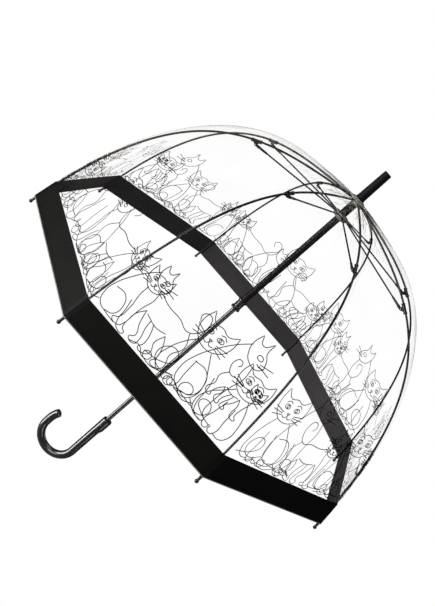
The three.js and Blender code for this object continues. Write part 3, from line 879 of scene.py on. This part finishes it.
def eye_plate(bm, pivot, way, length, rod_radius):
    """A flattened eye: a plate from a round end at the pivot to the round rod, with its hole."""
    normal = Vector((-way.y, way.x))

    def arc(radius, sweep, steps, count):
        turns = [pi / 2 + sweep * i / steps for i in range(count)]
        return [pivot + way * (radius * cos(turn)) + normal * (radius * sin(turn)) for turn in turns]

    outline = arc(TONGUE_RADIUS, pi, 12, 13)
    outline += [pivot + way * length - normal * rod_radius, pivot + way * length + normal * rod_radius]
    hole = arc(WIRE_RADIUS + SLOT_PLAY, 2 * pi, 16, 16)
    edges = []
    for points in (outline, hole):
        verts = [bm.verts.new((p.x * MM, -TONGUE_THICKNESS / 2 * MM, p.y * MM)) for p in points]
        edges += [bm.edges.new(pair) for pair in zip(verts, verts[1:] + verts[:1])]
    filled = bmesh.ops.triangle_fill(bm, use_beauty=True, use_dissolve=False, edges=edges)["geom"]
    faces = [item for item in filled if isinstance(item, bmesh.types.BMFace)]
    plate(bm, faces, (0, TONGUE_THICKNESS * MM, 0))


def on_spokes(made, name, body, slot_name, finish, node=None):
    """Copies a piece made in the XZ plane to all eight spokes, each on its own body."""
    for i, turn in enumerate(SPOKES):
        mesh = made.data.copy()
        mesh.transform(Matrix.Rotation(turn, 4, "Z"))
        copy = bpy.data.objects.new(f"{name}_{i + 1}", mesh)
        scene.collection.objects.link(copy)
        nodes = [f"{node}_{i + 1}"] if node else []
        fitted(copy, f"{body}_{i + 1}", slot_name, finish, *nodes)
    bpy.data.objects.remove(made)


rod_black = moulded(
    "rod_black", (0.004, 0.004, 0.004), (0.009, 0.009, 0.009), 0.30, 1200, 0.15,
    coat=0.1, wear=0.1, gloss=0.3,
)
upper = bmesh.new()
eye_plate(upper, crown_pivot, rib_way(0), TONGUE_LENGTH + 3, RIB_RADIUS * 0.9)
rib_rod(upper, TONGUE_LENGTH, RIB_JOINT_DISTANCE - 0.3, 4, True, False)
on_spokes(finished(upper, "upper_rod"), "upper_rod", "upper_rib", "black_rod", rod_black, "upper_rib")
lower = rib_rod(bmesh.new(), FLEX_DISTANCE - RIB_RADIUS, rib_length + RIB_END_LENGTH - 0.3, 5, True, True)
on_spokes(finished(lower, "lower_rod"), "lower_rod", "lower_rib", "black_rod", rod_black, "lower_rib")

# ---- Joint clips ----
# A short moulded sleeve over the rib with a lug on its inside. The stretcher's fork straddles the lug and a
# steel rivet goes through both.
CLIP_RADIUS = 3.7
CLIP_DROP = 0.7
LUG_DROP = 7.5
LUG_THICKNESS = 1.6
LUG_ROOT = 2.9  # how far below the rib the lug leaves the sleeve
CLIP_BORE = 2.5


def laid_along(point, way):
    """Carries a piece made along X to a point and a way in the rib's plane."""
    return Matrix.Translation(in_space(point) * MM) @ Matrix.Rotation(-atan2(way.y, way.x), 4, "Y")


def along_x(bm, runs, centre_height=0.0, sides=28):
    """A loft along X from (place, radius) pairs."""
    along, across = Vector((1, 0, 0)), Vector((0, 1, 0))
    stations = [station(Vector((x, 0, centre_height)), along, across, radius) for x, radius in runs]
    return loft(bm, stations, sides)


def clip_sleeve():
    """The sleeve with a lip at each mouth and its lug, bored for the rib."""
    half = CLIP_LENGTH / 2
    lip = [
        (0.0, CLIP_RADIUS - 0.5), (0.25, CLIP_RADIUS - 0.1), (0.7, CLIP_RADIUS), (2.2, CLIP_RADIUS),
        (2.9, CLIP_RADIUS - 0.45), (4.4, CLIP_RADIUS - 0.55),
    ]
    runs = [(-half + x, radius) for x, radius in lip] + [(half - x, radius) for x, radius in reversed(lip)]
    sleeve = finished(along_x(bmesh.new(), runs, -CLIP_DROP), "clip_sleeve")
    lug = bmesh.new()
    turns = [pi + pi * i / 12 for i in range(13)]
    nose = [(TONGUE_RADIUS * cos(turn), -LUG_DROP + TONGUE_RADIUS * sin(turn)) for turn in turns]
    outline = [(-half * 0.66, -LUG_ROOT), *nose, (half * 0.66, -LUG_ROOT)]
    side = lug.faces.new([lug.verts.new((x * MM, -LUG_THICKNESS / 2 * MM, z * MM)) for x, z in outline])
    plate(lug, [side], (0, LUG_THICKNESS * MM, 0))
    cut_out(sleeve, lug, operation="UNION")
    cut_out(sleeve, along_x(bmesh.new(), [(-half - 1, CLIP_BORE), (half + 1, CLIP_BORE)], 0, 20))
    sleeve.data.transform(laid_along(beside_rib(RIB_JOINT_DISTANCE), rib_way(RIB_JOINT_DISTANCE)))
    return sleeve


clip_black = moulded("clip_black", (0.006, 0.006, 0.006), (0.016, 0.015, 0.015), 0.38, 1300, 0.2, wear=0.2)
on_spokes(clip_sleeve(), "joint_clip", "upper_rib", "clip_plastic", clip_black, "rib_joint")

# ---- Stretchers ----
# Thin black rods from the hub to the clips: a flattened eye on the hub's wire, and a moulded socket with two
# cheeks that straddle the clip's lug, held by a rivet.
STRETCHER_RADIUS = 1.5
SOCKET_RADIUS = 2.6
SOCKET_LENGTH = 28

rivet_point = beside_rib(RIB_JOINT_DISTANCE, -LUG_DROP)
hub_point = Vector((HUB_PIVOT_RADIUS, hub_height))
stretcher_way = (hub_point - rivet_point).normalized()
stretcher_length = (hub_point - rivet_point).length


def stretcher_socket():
    """The moulded end: a slotted nose round the rivet, a barrel and a tapered neck down to the rod."""
    runs = [
        (-SOCKET_RADIUS, 0.7), (-SOCKET_RADIUS * 0.9, 1.4), (-SOCKET_RADIUS * 0.6, 2.1), (0, SOCKET_RADIUS),
        (7, SOCKET_RADIUS), (7.5, SOCKET_RADIUS + 0.25), (9.2, SOCKET_RADIUS + 0.25),
        (9.7, SOCKET_RADIUS - 0.3), (22, SOCKET_RADIUS - 0.5), (26, STRETCHER_RADIUS + 0.6),
        (SOCKET_LENGTH, STRETCHER_RADIUS + 0.35),
    ]
    socket = finished(along_x(bmesh.new(), runs), "stretcher_socket")
    cheek = LUG_THICKNESS / 2 + SLOT_PLAY
    slot = ((-2 * SOCKET_RADIUS, -cheek, -5), (LUG_DROP - CLIP_RADIUS + 2, cheek, 5), 0)
    cut_out(socket, blocks([slot]), 0.12)
    return socket


def stretcher_rivet():
    """A rivet through cheeks and lug, with a domed head on each side."""
    bm = bmesh.new()
    runs = [
        (-2.9, 0.25), (-2.75, 0.8), (-2.5, 1.2), (-2.25, 1.3), (-2.2, 0.9),
        (2.2, 0.9), (2.25, 1.3), (2.5, 1.2), (2.75, 0.8), (2.9, 0.25),
    ]
    along = Vector((0, 1, 0))
    stations = [station(Vector((0, y, 0)), along, Vector((1, 0, 0)), radius) for y, radius in runs]
    return finished(loft(bm, stations, 16), "rivet")


def stretcher_rod():
    """The rod with its flattened eye, from the socket's neck to the hub's wire."""
    bm = bmesh.new()
    rod_end = stretcher_length - TONGUE_LENGTH
    runs = [(SOCKET_LENGTH - 6, STRETCHER_RADIUS)]
    runs += [(SOCKET_LENGTH + (rod_end - SOCKET_LENGTH) * i / 8, STRETCHER_RADIUS) for i in range(9)]
    along_x(bm, runs, 0, 12)
    eye_plate(bm, Vector((stretcher_length, 0)), Vector((-1, 0)), TONGUE_LENGTH + 3, STRETCHER_RADIUS)
    return finished(bm, "stretcher_rod")


for made, name, slot_name, finish, node in (
    (stretcher_rod(), "stretcher_rod", "black_rod", rod_black, "stretcher"),
    (stretcher_socket(), "stretcher_socket", "clip_plastic", clip_black, None),
    (stretcher_rivet(), "stretcher_rivet", "bright_steel", plated_steel, None),
):
    made.data.transform(laid_along(rivet_point, stretcher_way))
    on_spokes(made, name, "stretcher", slot_name, finish, node)

# ---- Tip caps ----
# Black moulded caps pushed over the ribs' ends, with a bulb at the end and a small collar where the hem's
# corner is caught.
TIP_CAP_RADIUS = 3.0
TIP_CAP_LENGTH = 16
BULB_RADIUS = 3.6
BULB_START = 0.75  # radians before its widest place, where it grows out of the neck


def tip_cap():
    """Made along X from the hem outwards."""
    neck = TIP_CAP_LENGTH - BULB_RADIUS
    turns = [-BULB_START + (pi / 2 + BULB_START) * i / 10 for i in range(11)]
    bulb = [(neck + BULB_RADIUS * sin(turn), BULB_RADIUS * max(cos(turn), 0.06)) for turn in turns]
    runs = [
        (0, TIP_CAP_RADIUS - 0.5), (0.2, TIP_CAP_RADIUS - 0.1), (0.6, TIP_CAP_RADIUS), (2.0, TIP_CAP_RADIUS),
        (2.5, TIP_CAP_RADIUS - 0.35), (neck - 5, TIP_CAP_RADIUS - 0.5), *bulb,
    ]
    cap = finished(along_x(bmesh.new(), runs, 0, 24), "tip_cap")
    rib_bore = RIB_RADIUS + SLOT_PLAY
    cut_out(cap, along_x(bmesh.new(), [(-1, rib_bore), (RIB_END_LENGTH, rib_bore)], 0, 20))
    way = rib_way(rib_length)
    cap.data.transform(laid_along(hem_point + way * SLOT_PLAY, way))
    return cap


tip_gloss = moulded(
    "tip_gloss", (0.008, 0.008, 0.008), (0.018, 0.018, 0.018), 0.26, 1200, 0.2, coat=0.4, wear=0.2
)
on_spokes(tip_cap(), "tip_bulb", "lower_rib", "tip_plastic", tip_gloss, "tip_cap")

# ---- Clear film ----
# Eight gores of clear vinyl welded along the ribs into one deep bubble. It is pinched at the crown, stands
# off the ribs a little in the upper half, and is drawn straight from rib to rib at the hem.
BAND_WIDTH = 48
FILM_START = 7  # along the rib, just outside the washer
FILM_OFFSET = 3.4  # from a rib's centre line to the film, where it lies closest
FILM_STAND_OFF = 9.0  # how much further out it stands at most
STAND_OFF_DISTANCE = 205  # where along the rib that is
STAND_OFF_SPREAD = 150
ROUNDNESS = 0.22  # of a circle's bulge between two ribs, near the crown
GATHER_SIZE = 3.4
GATHER_REACH = 85  # how fast the gathers die out down the rib
WAVE_SIZE = 2.4
FILM_THICKNESS = 0.25
WELD_HALF_WIDTH = 2.4
WELD_THICKNESS = 0.15
HALF_PITCH = pi / RIB_COUNT
JOINT_SLOPE = radians(26)  # the dome's, where the ribs' joints are
band_start = rib_length - BAND_WIDTH


def stand_off(distance):
    """How far the film stands off the rib's centre line."""
    share = (distance - STAND_OFF_DISTANCE) / STAND_OFF_SPREAD
    return FILM_OFFSET + FILM_STAND_OFF * exp(-share * share) * smooth_step(distance / 60)


def roundness(distance):
    """0 at the hem, where the film runs straight from rib to rib, and up to ROUNDNESS above."""
    return ROUNDNESS * smooth_step((rib_length - distance) / 420)


def wrinkle(distance, azimuth, height):
    """Gathers that run down from the crown and die out, and slow waves in the film further down."""
    near = exp(-distance / GATHER_REACH)
    ray = Vector((cos(azimuth) * 9, sin(azimuth) * 9, distance / 90))
    slow = Vector((cos(azimuth) * 2.2, sin(azimuth) * 2.2, height / 160))
    fold = noise.noise(ray) * GATHER_SIZE * near * smooth_step(distance / 25)
    calm = smooth_step((band_start - distance) / 160)
    return fold + noise.noise(slow) * WAVE_SIZE * smooth_step(distance / 120) * calm


def film_point(rib_azimuth, off_rib, distance, lift=0.0):
    """A point of the film: off_rib is the angle from the rib's plane, lift is out of the surface."""
    middle = HALF_PITCH - abs(off_rib)
    corner = beside_rib(distance, stand_off(distance))
    chord = cos(HALF_PITCH) / cos(middle)
    share = roundness(distance)
    azimuth = rib_azimuth + off_rib
    way = rib_way(distance)
    out = lift + wrinkle(distance, azimuth, corner.y)
    radius = corner.x * (chord + (1 - chord) * share) - way.y * out
    height = corner.y + way.x * out
    return Vector((radius * cos(azimuth), radius * sin(azimuth), height)) * MM


def split_distance(off_rib):
    """Where the upper film ends and the lower begins: lower between the ribs, so that it folds there."""
    half_chord = beside_rib(FLEX_DISTANCE).x * sin(abs(off_rib))
    return FLEX_DISTANCE + half_chord * tan(HALF_PITCH) * cos(JOINT_SLOPE)


def film_patch(name, rib, span, columns, rows, lift=0.0, half_width=None):
    """A patch of film that belongs to one rib, out to halfway to its neighbours or to a half width in
    millimetres. Its span is where it starts and ends, from the angle off the rib. Its uv map runs across
    and along the rib."""
    start, end = span
    bm = bmesh.new()
    uv = bm.loops.layers.uv.new("run")
    bmesh.ops.create_grid(bm, x_segments=columns, y_segments=rows, size=0.5)
    for vert in bm.verts:
        off_rib = vert.co.x * 2 * HALF_PITCH
        low, high = start(off_rib), end(off_rib)
        distance = low + (high - low) * (vert.co.y + 0.5)
        if half_width:
            off_rib = atan2(vert.co.x * 2 * half_width, beside_rib(distance, FILM_OFFSET).x)
        vert.co.x = off_rib
        vert.co.z = distance
    for face in bm.faces:
        for corner in face.loops:
            off_rib, distance = corner.vert.co.x, corner.vert.co.z
            corner[uv].uv = (beside_rib(distance).x * tan(off_rib) * MM, distance * MM)
    for vert in bm.verts:
        vert.co = film_point(SPOKES[rib], vert.co.x, vert.co.z, lift)
    bmesh.ops.recalc_face_normals(bm, faces=bm.faces)
    inside = Vector((0, 0, 0.4))
    if sum(face.normal.dot(face.calc_center_median() - inside) for face in bm.faces) < 0:
        bmesh.ops.reverse_faces(bm, faces=bm.faces)
    return finished(bm, name, 60)


def folding(made, rib):
    """Gives the piece its own copy of its mesh."""
    turn = SPOKES[rib]
    -sin(turn)
    cos(turn)
    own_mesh(made)


def on_dome(made, part, rib, thickness, slot_name, finish, *nodes):
    """Gives a patch its thickness, to both sides, and fits it to the upper or lower part of its rib."""
    wall = made.modifiers.new("thickness", "SOLIDIFY")
    wall.thickness = thickness * MM
    wall.offset = 0
    settled(made, 60)
    fitted(made, f"{part}_rib_{rib + 1}", slot_name, finish, *nodes)
    folding(made, rib)
    return made


def cut_flat(made, rib, span):
    """Works out the flat size of a gore's sheet, its widest and longest run and its area, and keeps none of
    it.
    """
    start, end = span
    steps = 60
    high = max(end(0), end(HALF_PITCH))
    area = 0.0
    for i in range(steps):
        off_rib = (-1 + 2 * (i + 0.5) / steps) * HALF_PITCH
        first, last = start(off_rib), end(off_rib)
        middle = beside_rib((first + last) / 2, FILM_OFFSET)
        area += (last - first) * middle.x * (1 + tan(off_rib) ** 2) * 2 * HALF_PITCH / steps * MM * MM
    width = 2 * beside_rib(high, FILM_OFFSET).x * sin(HALF_PITCH) * MM
    length = (high - start(0)) * MM
    min(area, width * length)


FILM_TINT = 0.03
FILM_EDGE = 0.4
CREASE_REACH = 0.24  # metres down the rib


def film_material(name, haze):
    """Clear vinyl: nearly nothing face on, greyer at grazing angles, with warm clouds and fine crinkles."""
    made, tree, place = material(name)
    run = tree.node("ShaderNodeUVMap", {"uv_map": "run"})
    cloud = noise_at(tree, place, 4.2, 2.0)
    warm = ((cloud - 0.50) * 5).clamped()
    streak = noise_at(tree, run, 45, 2.0, 0.5, (2.4, 0.3, 1))
    crease = (1 - ((streak - 0.5) * 16).math("ABSOLUTE", (streak - 0.5) * 16)).clamped() ** 2
    along = tree.node("ShaderNodeSeparateXYZ", None, {0: run}, output=1)
    near_crown = (1 - along / CREASE_REACH).clamped() ** 1.6
    grazing = tree.node("ShaderNodeLayerWeight", None, {"Blend": 0.5}, output=1)
    dull = haze + warm * FILM_TINT + crease * near_crown * 0.8 + grazing ** 30 * FILM_EDGE
    height = streak * near_crown + cloud * 0.6 + noise_at(tree, run, 25, 3.0) * 0.25
    return surfaced(made, tree, {
        "Base Color": blend(tree, warm, (0.66, 0.62, 0.58), (0.85, 0.66, 0.56)),
        "Roughness": 0.12,
        "Alpha": dull.clamped(),
        "Normal": bumped(tree, 0.5, 0.002, height),
    })


clear_vinyl = film_material("clear_vinyl", 0.002)
weld_vinyl = film_material("weld_vinyl", 0.03)


def at(distance):
    """A straight end for a patch."""
    return lambda off_rib: distance


GORE_PARTS = (
    ("upper", (at(FILM_START), split_distance), (at(FILM_START), at(FLEX_DISTANCE)), 26),
    ("lower", (split_distance, at(band_start)), (at(FLEX_DISTANCE), at(band_start)), 34),
)
for rib in range(RIB_COUNT):
    for part, span, weld_span, rows in GORE_PARTS:
        patch = film_patch(f"film_{part}_{rib + 1}", rib, span, 24, rows)
        cut_flat(on_dome(patch, part, rib, FILM_THICKNESS, "clear_film", clear_vinyl), rib, span)
        weld = film_patch(f"weld_{part}_{rib + 1}", rib, weld_span, 2, 40, FILM_THICKNESS, WELD_HALF_WIDTH)
        on_dome(weld, part, rib, WELD_THICKNESS, "clear_film", weld_vinyl)

# ---- Crown film ----
# The disc of film, doubled by the welds, that is pinched between the notch and the washer. It is turned, and
# droops at its rim to meet the gores.
DISC_RADIUS = 19.6
DISC_HOLE = 9
disc_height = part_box("canopy_clear")[1].z / MM - 1.1
crown_film = finished(
    turned_mesh([
        (DISC_HOLE, disc_height + 0.3),
        (WASHER_RADIUS + 0.5, disc_height + 0.3),
        (DISC_RADIUS - 2.1, disc_height + 0.25),
        (DISC_RADIUS, disc_height - 0.9),
        (DISC_RADIUS, disc_height - 0.65),
        (DISC_RADIUS - 2, disc_height + 0.5),
        (WASHER_RADIUS + 0.5, disc_height + 0.55),
        (DISC_HOLE, disc_height + 0.55),
    ], 96),
    "film_crown",
)
fitted(crown_film, "frame", "clear_film", weld_vinyl, "canopy_clear")

# ---- Hem band ----
# A wide band of black vinyl welded to the film's lower edge, with its hem folded over and sealed. It is
# near black outside and dark grey inside, with a narrow pale grey strip along the hem's outer edge: a painted
# highlight.
HEM_FOLD = 7
BAND_THICKNESS = 0.5
BAND_LAP = 1.5  # over the film's edge
BAND_LIFT = 0.45  # how far out of the film it lies
BAND_SEAM_HALF_WIDTH = 1.1


def vinyl_material(name, dark, light):
    """Soft black vinyl: a fine leathery grain, slow waves, and a slight wear of its gloss."""
    made, tree, place = material(name)
    slow = noise_at(tree, place, 16, 3.0)
    grain = noise_at(tree, place, 1400, 3.0, 0.6)
    waves = noise_at(tree, place, 38, 2.0)
    return surfaced(made, tree, {
        "Base Color": blend(tree, slow, dark, light),
        "Roughness": 0.40 + grain * 0.14,
        "Specular IOR Level": 0.06,
        "Normal": bumped(tree, 0.25, 0.0006, grain * 0.1 + waves),
    })


band_outside = vinyl_material("band_outside", (0.004, 0.004, 0.004), (0.009, 0.009, 0.008))
band_inside = vinyl_material("band_inside", (0.036, 0.033, 0.035), (0.054, 0.050, 0.052))
# Pale grey for the strip along the hem's outer edge: a painted highlight where the folded hem catches the
# light.
sealed_edge = vinyl_material("sealed_edge", (0.16, 0.16, 0.155), (0.30, 0.30, 0.29))

# Each layer on the band as (name, how far above the hem it starts and ends, columns, rows, how far out of the
# film it lies, thickness, material, half width or None for the whole gore).
HEM_LAYERS = (
    ("hem_in", HEM_FOLD, -0.3, 40, 4, -0.25, 0.35, band_inside, None),
    ("hem_out", HEM_FOLD, -0.3, 40, 4, 0.95, 0.35, band_outside, None),
    # The thin pale strip along the hem's outer edge is a painted highlight.
    ("hem_edge", 1.2, -0.6, 40, 2, 1.25, 0.3, sealed_edge, None),
    ("band_seam", BAND_WIDTH + BAND_LAP, 2, 2, 16, 0.9, 0.3, band_outside, BAND_SEAM_HALF_WIDTH),
)
for rib in range(RIB_COUNT):
    span = (at(band_start - BAND_LAP), at(rib_length))
    band = film_patch(f"band_{rib + 1}", rib, span, 40, 14, BAND_LIFT)
    nodes = ["canopy_band"] if rib == 0 else []
    on_dome(band, "lower", rib, BAND_THICKNESS, "band_vinyl", band_outside, *nodes)
    cut_flat(band, rib, span)
    band.data.materials.append(band_inside)
    for face in band.data.polygons:
        outward = Vector((face.center.x, face.center.y, 0)).normalized()
        face.material_index = 1 if face.normal.dot(outward) < -0.5 else 0
    for name, start, end, columns, rows, lift, thickness, finish, half_width in HEM_LAYERS:
        span = (at(rib_length - start), at(rib_length - end))
        layer = film_patch(f"{name}_{rib + 1}", rib, span, columns, rows, lift, half_width)
        on_dome(layer, "lower", rib, thickness, "band_vinyl", finish)

# ---- Print ----
# Thin dark line drawings of seated and walking cats, screen-printed on the film above the band, their heads
# towards the crown. Each stroke is a flattened round line that lies in the film and shows from both sides.
INK_WIDTH = 1.45
INK_THICKNESS = 0.3


def line(*points):
    """An open stroke through its points."""
    return points, False, ()


def outline(points, *corners):
    """A closed stroke. Corners number the points where it is sharp."""
    return points, True, corners


def mirrored(strokes):
    """The strokes and the same ones on the other side."""
    return strokes + [([(-x, y) for x, y in points], closed, corners) for points, closed, corners in strokes]


def cat_face(x, y, size):
    """Eyes, nose, mouth and whiskers about the middle of a head."""
    half = [
        outline([(4, 2), (8, 5.5), (13, 3), (8, 0)]),
        outline([(7, 4), (9, 4), (9, 1.5), (7, 1.5)]),
        line((4, 8), (9, 10), (14, 7)),
        line((0, -8), (3, -11), (8, -9.5)),
        line((9, -5), (25, -1)),
        line((9, -7), (26, -6)),
        line((9, -9), (24, -12)),
    ]
    middle = [outline([(-3, -4), (3, -4), (0, -8)], 0, 1, 2), outline([(-1, -5), (1, -5), (0, -7)])]
    return [
        ([(x + size * px, y + size * py) for px, py in points], closed, corners)
        for points, closed, corners in mirrored(half) + middle
    ]


# Each cat's strokes, in hundredths of its height.
SEATED = mirrored([
    line((-7, 45), (-9, 24), (-11, 8), (-7, 1), (-2, 2), (-1, 9)),
]) + cat_face(0, 78, 1.0) + [
    outline([(-21, 101), (-11, 91), (0, 93), (11, 91), (22, 100), (24, 83), (18, 69), (0, 61),
        (-18, 69), (-24, 84)], 0, 4),
    line((-11, 63), (-20, 48), (-26, 30), (-27, 14), (-20, 4), (-9, 4)),
    line((12, 63), (22, 50), (33, 34), (36, 17), (29, 5), (12, 3)),
    line((34, 10), (48, 3), (60, 9), (60, 20), (50, 24), (44, 17), (54, 9), (72, 5)),
]
SIDEWAYS = [
    outline([(-27, 80), (-22, 89), (-18, 93), (-17, 106), (-9, 96), (-2, 104), (0, 92), (-3, 82),
        (-10, 75), (-22, 74)], 0, 3, 5),
    outline([(-20, 85), (-16, 88), (-13, 85), (-17, 83)]),
    line((-27, 80), (-22, 78), (-18, 79)),
    line((-21, 81), (-36, 85)),
    line((-21, 79), (-36, 78)),
    line((-1, 90), (10, 76), (20, 58), (28, 38), (30, 20), (24, 6), (8, 2), (-6, 1)),
    line((-18, 74), (-21, 58), (-18, 42), (-17, 22), (-19, 6), (-25, 1), (-13, 0), (-8, 7), (-5, 24),
        (-1, 38)),
    line((24, 35), (9, 36), (0, 24), (2, 8), (13, 3)),
    line((28, 8), (43, 2), (56, 10), (52, 25), (41, 27), (37, 18), (47, 8), (66, 3)),
]
WALKING = cat_face(41, 77, 0.8) + [
    outline([(24, 95), (32, 87), (40, 88), (49, 87), (58, 95), (59, 80), (54, 69), (41, 63), (28, 69),
        (23, 81)], 0, 4),
    line((25, 72), (8, 68), (-14, 68), (-32, 64), (-43, 74), (-46, 92), (-38, 102), (-29, 95),
        (-33, 87)),
    line((20, 40), (0, 36), (-16, 40)),
    line((46, 65), (46, 50), (42, 28), (43, 8), (49, 2), (36, 0), (32, 8), (31, 28), (24, 42)),
    line((24, 42), (18, 24), (10, 8), (15, 1), (3, 0), (2, 8), (8, 26), (10, 38)),
    line((-36, 66), (-46, 46), (-40, 26), (-46, 8), (-40, 0), (-29, 0), (-31, 9), (-27, 24), (-18, 38)),
    line((-18, 38), (-14, 22), (-20, 7), (-14, 0), (-4, 0), (-6, 10), (-2, 26), (4, 37)),
]
TAIL_LOOPS = [
    line((-70, 6), (-48, 14), (-30, 4), (-16, 12), (-24, 22), (-34, 12), (-14, 3), (12, 10), (34, 22),
        (46, 10), (36, 2), (28, 12), (44, 20), (70, 8)),
]
# Each gore's cats as (strokes, across from the gore's middle, above the band, height, which way they face).
ROWS = (
    (
        (SEATED, -106, 6, 140, 1),
        (SIDEWAYS, -50, 12, 152, -1),
        (WALKING, 4, 5, 112, 1),
        (SIDEWAYS, 62, 8, 120, 1),
        (SEATED, 104, 8, 146, 1),
        (TAIL_LOOPS, -62, 2, 84, 1),
        (SIDEWAYS, 134, 3, 88, -1),
    ),
    (
        (WALKING, -96, 5, 126, -1),
        (SEATED, -22, 14, 150, -1),
        (SIDEWAYS, 34, 6, 124, 1),
        (WALKING, 92, 8, 128, 1),
        (TAIL_LOOPS, 26, 3, 90, -1),
        (SEATED, -134, 3, 96, 1),
        (SIDEWAYS, 136, 4, 112, -1),
    ),
    (
        (SIDEWAYS, -116, 5, 124, -1),
        (WALKING, -58, 9, 118, -1),
        (SEATED, 14, 6, 134, 1),
        (SIDEWAYS, 60, 10, 156, -1),
        (SEATED, 112, 4, 126, -1),
        (TAIL_LOOPS, -14, 2, 82, 1),
        (WALKING, 96, 46, 72, 1),
    ),
)


def ink_lines(name, cats):
    """A gore's drawing as flat tubes in its own plane: x across from the middle, y above the band."""
    data = bpy.data.curves.new(name, "CURVE")
    data.dimensions = "3D"
    data.bevel_depth = INK_WIDTH / 2 * MM
    data.bevel_resolution = 0
    data.use_fill_caps = True
    for strokes, across, above, height, way in cats:
        for points, closed, corners in strokes:
            spline = data.splines.new("BEZIER")
            spline.bezier_points.add(len(points) - 1)
            spline.resolution_u = 6
            spline.use_cyclic_u = closed
            for i, (knot, (x, y)) in enumerate(zip(spline.bezier_points, points)):
                knot.co = ((across + way * x * height / 100) * MM, (above + y * height / 100) * MM, 0)
                knot.handle_left_type = "VECTOR" if i in corners else "AUTO"
                knot.handle_right_type = knot.handle_left_type
    drawn = bpy.data.objects.new(name, data)
    scene.collection.objects.link(drawn)
    graph = bpy.context.evaluated_depsgraph_get()
    mesh = bpy.data.meshes.new_from_object(drawn.evaluated_get(graph))
    bpy.data.objects.remove(drawn)
    return mesh


def print_half(name, mesh, rib, side):
    """The half of a gore's drawing that lies on one rib's film, wrapped onto it. side is 1 for the half
    that lies on the rib's left as seen from outside, and -1 for the other."""
    bm = bmesh.new()
    bm.from_mesh(mesh)
    everything = list(bm.verts) + list(bm.edges) + list(bm.faces)
    cut = bmesh.ops.bisect_plane(
        bm, geom=everything, plane_co=(0, 0, 0), plane_no=(side, 0, 0), clear_inner=True, dist=1e-7
    )["geom_cut"]
    rims = [item for item in cut if isinstance(item, bmesh.types.BMEdge)]
    bmesh.ops.holes_fill(bm, edges=rims, sides=0)
    for vert in bm.verts:
        distance = band_start - vert.co.y / MM
        apothem = beside_rib(distance, stand_off(distance)).x * cos(HALF_PITCH)
        from_middle = atan2(vert.co.x / MM, apothem)
        lift = vert.co.z / MM * INK_THICKNESS / INK_WIDTH
        vert.co = film_point(SPOKES[rib], from_middle - side * HALF_PITCH, distance, lift)
    bmesh.ops.recalc_face_normals(bm, faces=bm.faces)
    return finished(bm, name, 80)


def ink_material():
    """Dark grey ink that lies a little unevenly."""
    made, tree, place = material("print_ink")
    patchy = noise_at(tree, place, 260, 3.0)
    return surfaced(made, tree, {
        "Base Color": blend(tree, patchy, (0.003, 0.003, 0.003), (0.010, 0.010, 0.010)),
        "Roughness": 0.5 + patchy * 0.2,
        "Specular IOR Level": 0.05,
    })


print_ink = ink_material()
for gore in range(RIB_COUNT):
    flat_lines = ink_lines(f"ink_{gore + 1}", ROWS[gore % len(ROWS)])
    for rib, side, part in ((gore, -1, "left"), ((gore + 1) % RIB_COUNT, 1, "right")):
        half = print_half(f"print_{part}_{gore + 1}", flat_lines, rib, side)
        fitted(half, f"lower_rib_{rib + 1}", None, print_ink)
        folding(half, rib)
    bpy.data.meshes.remove(flat_lines)
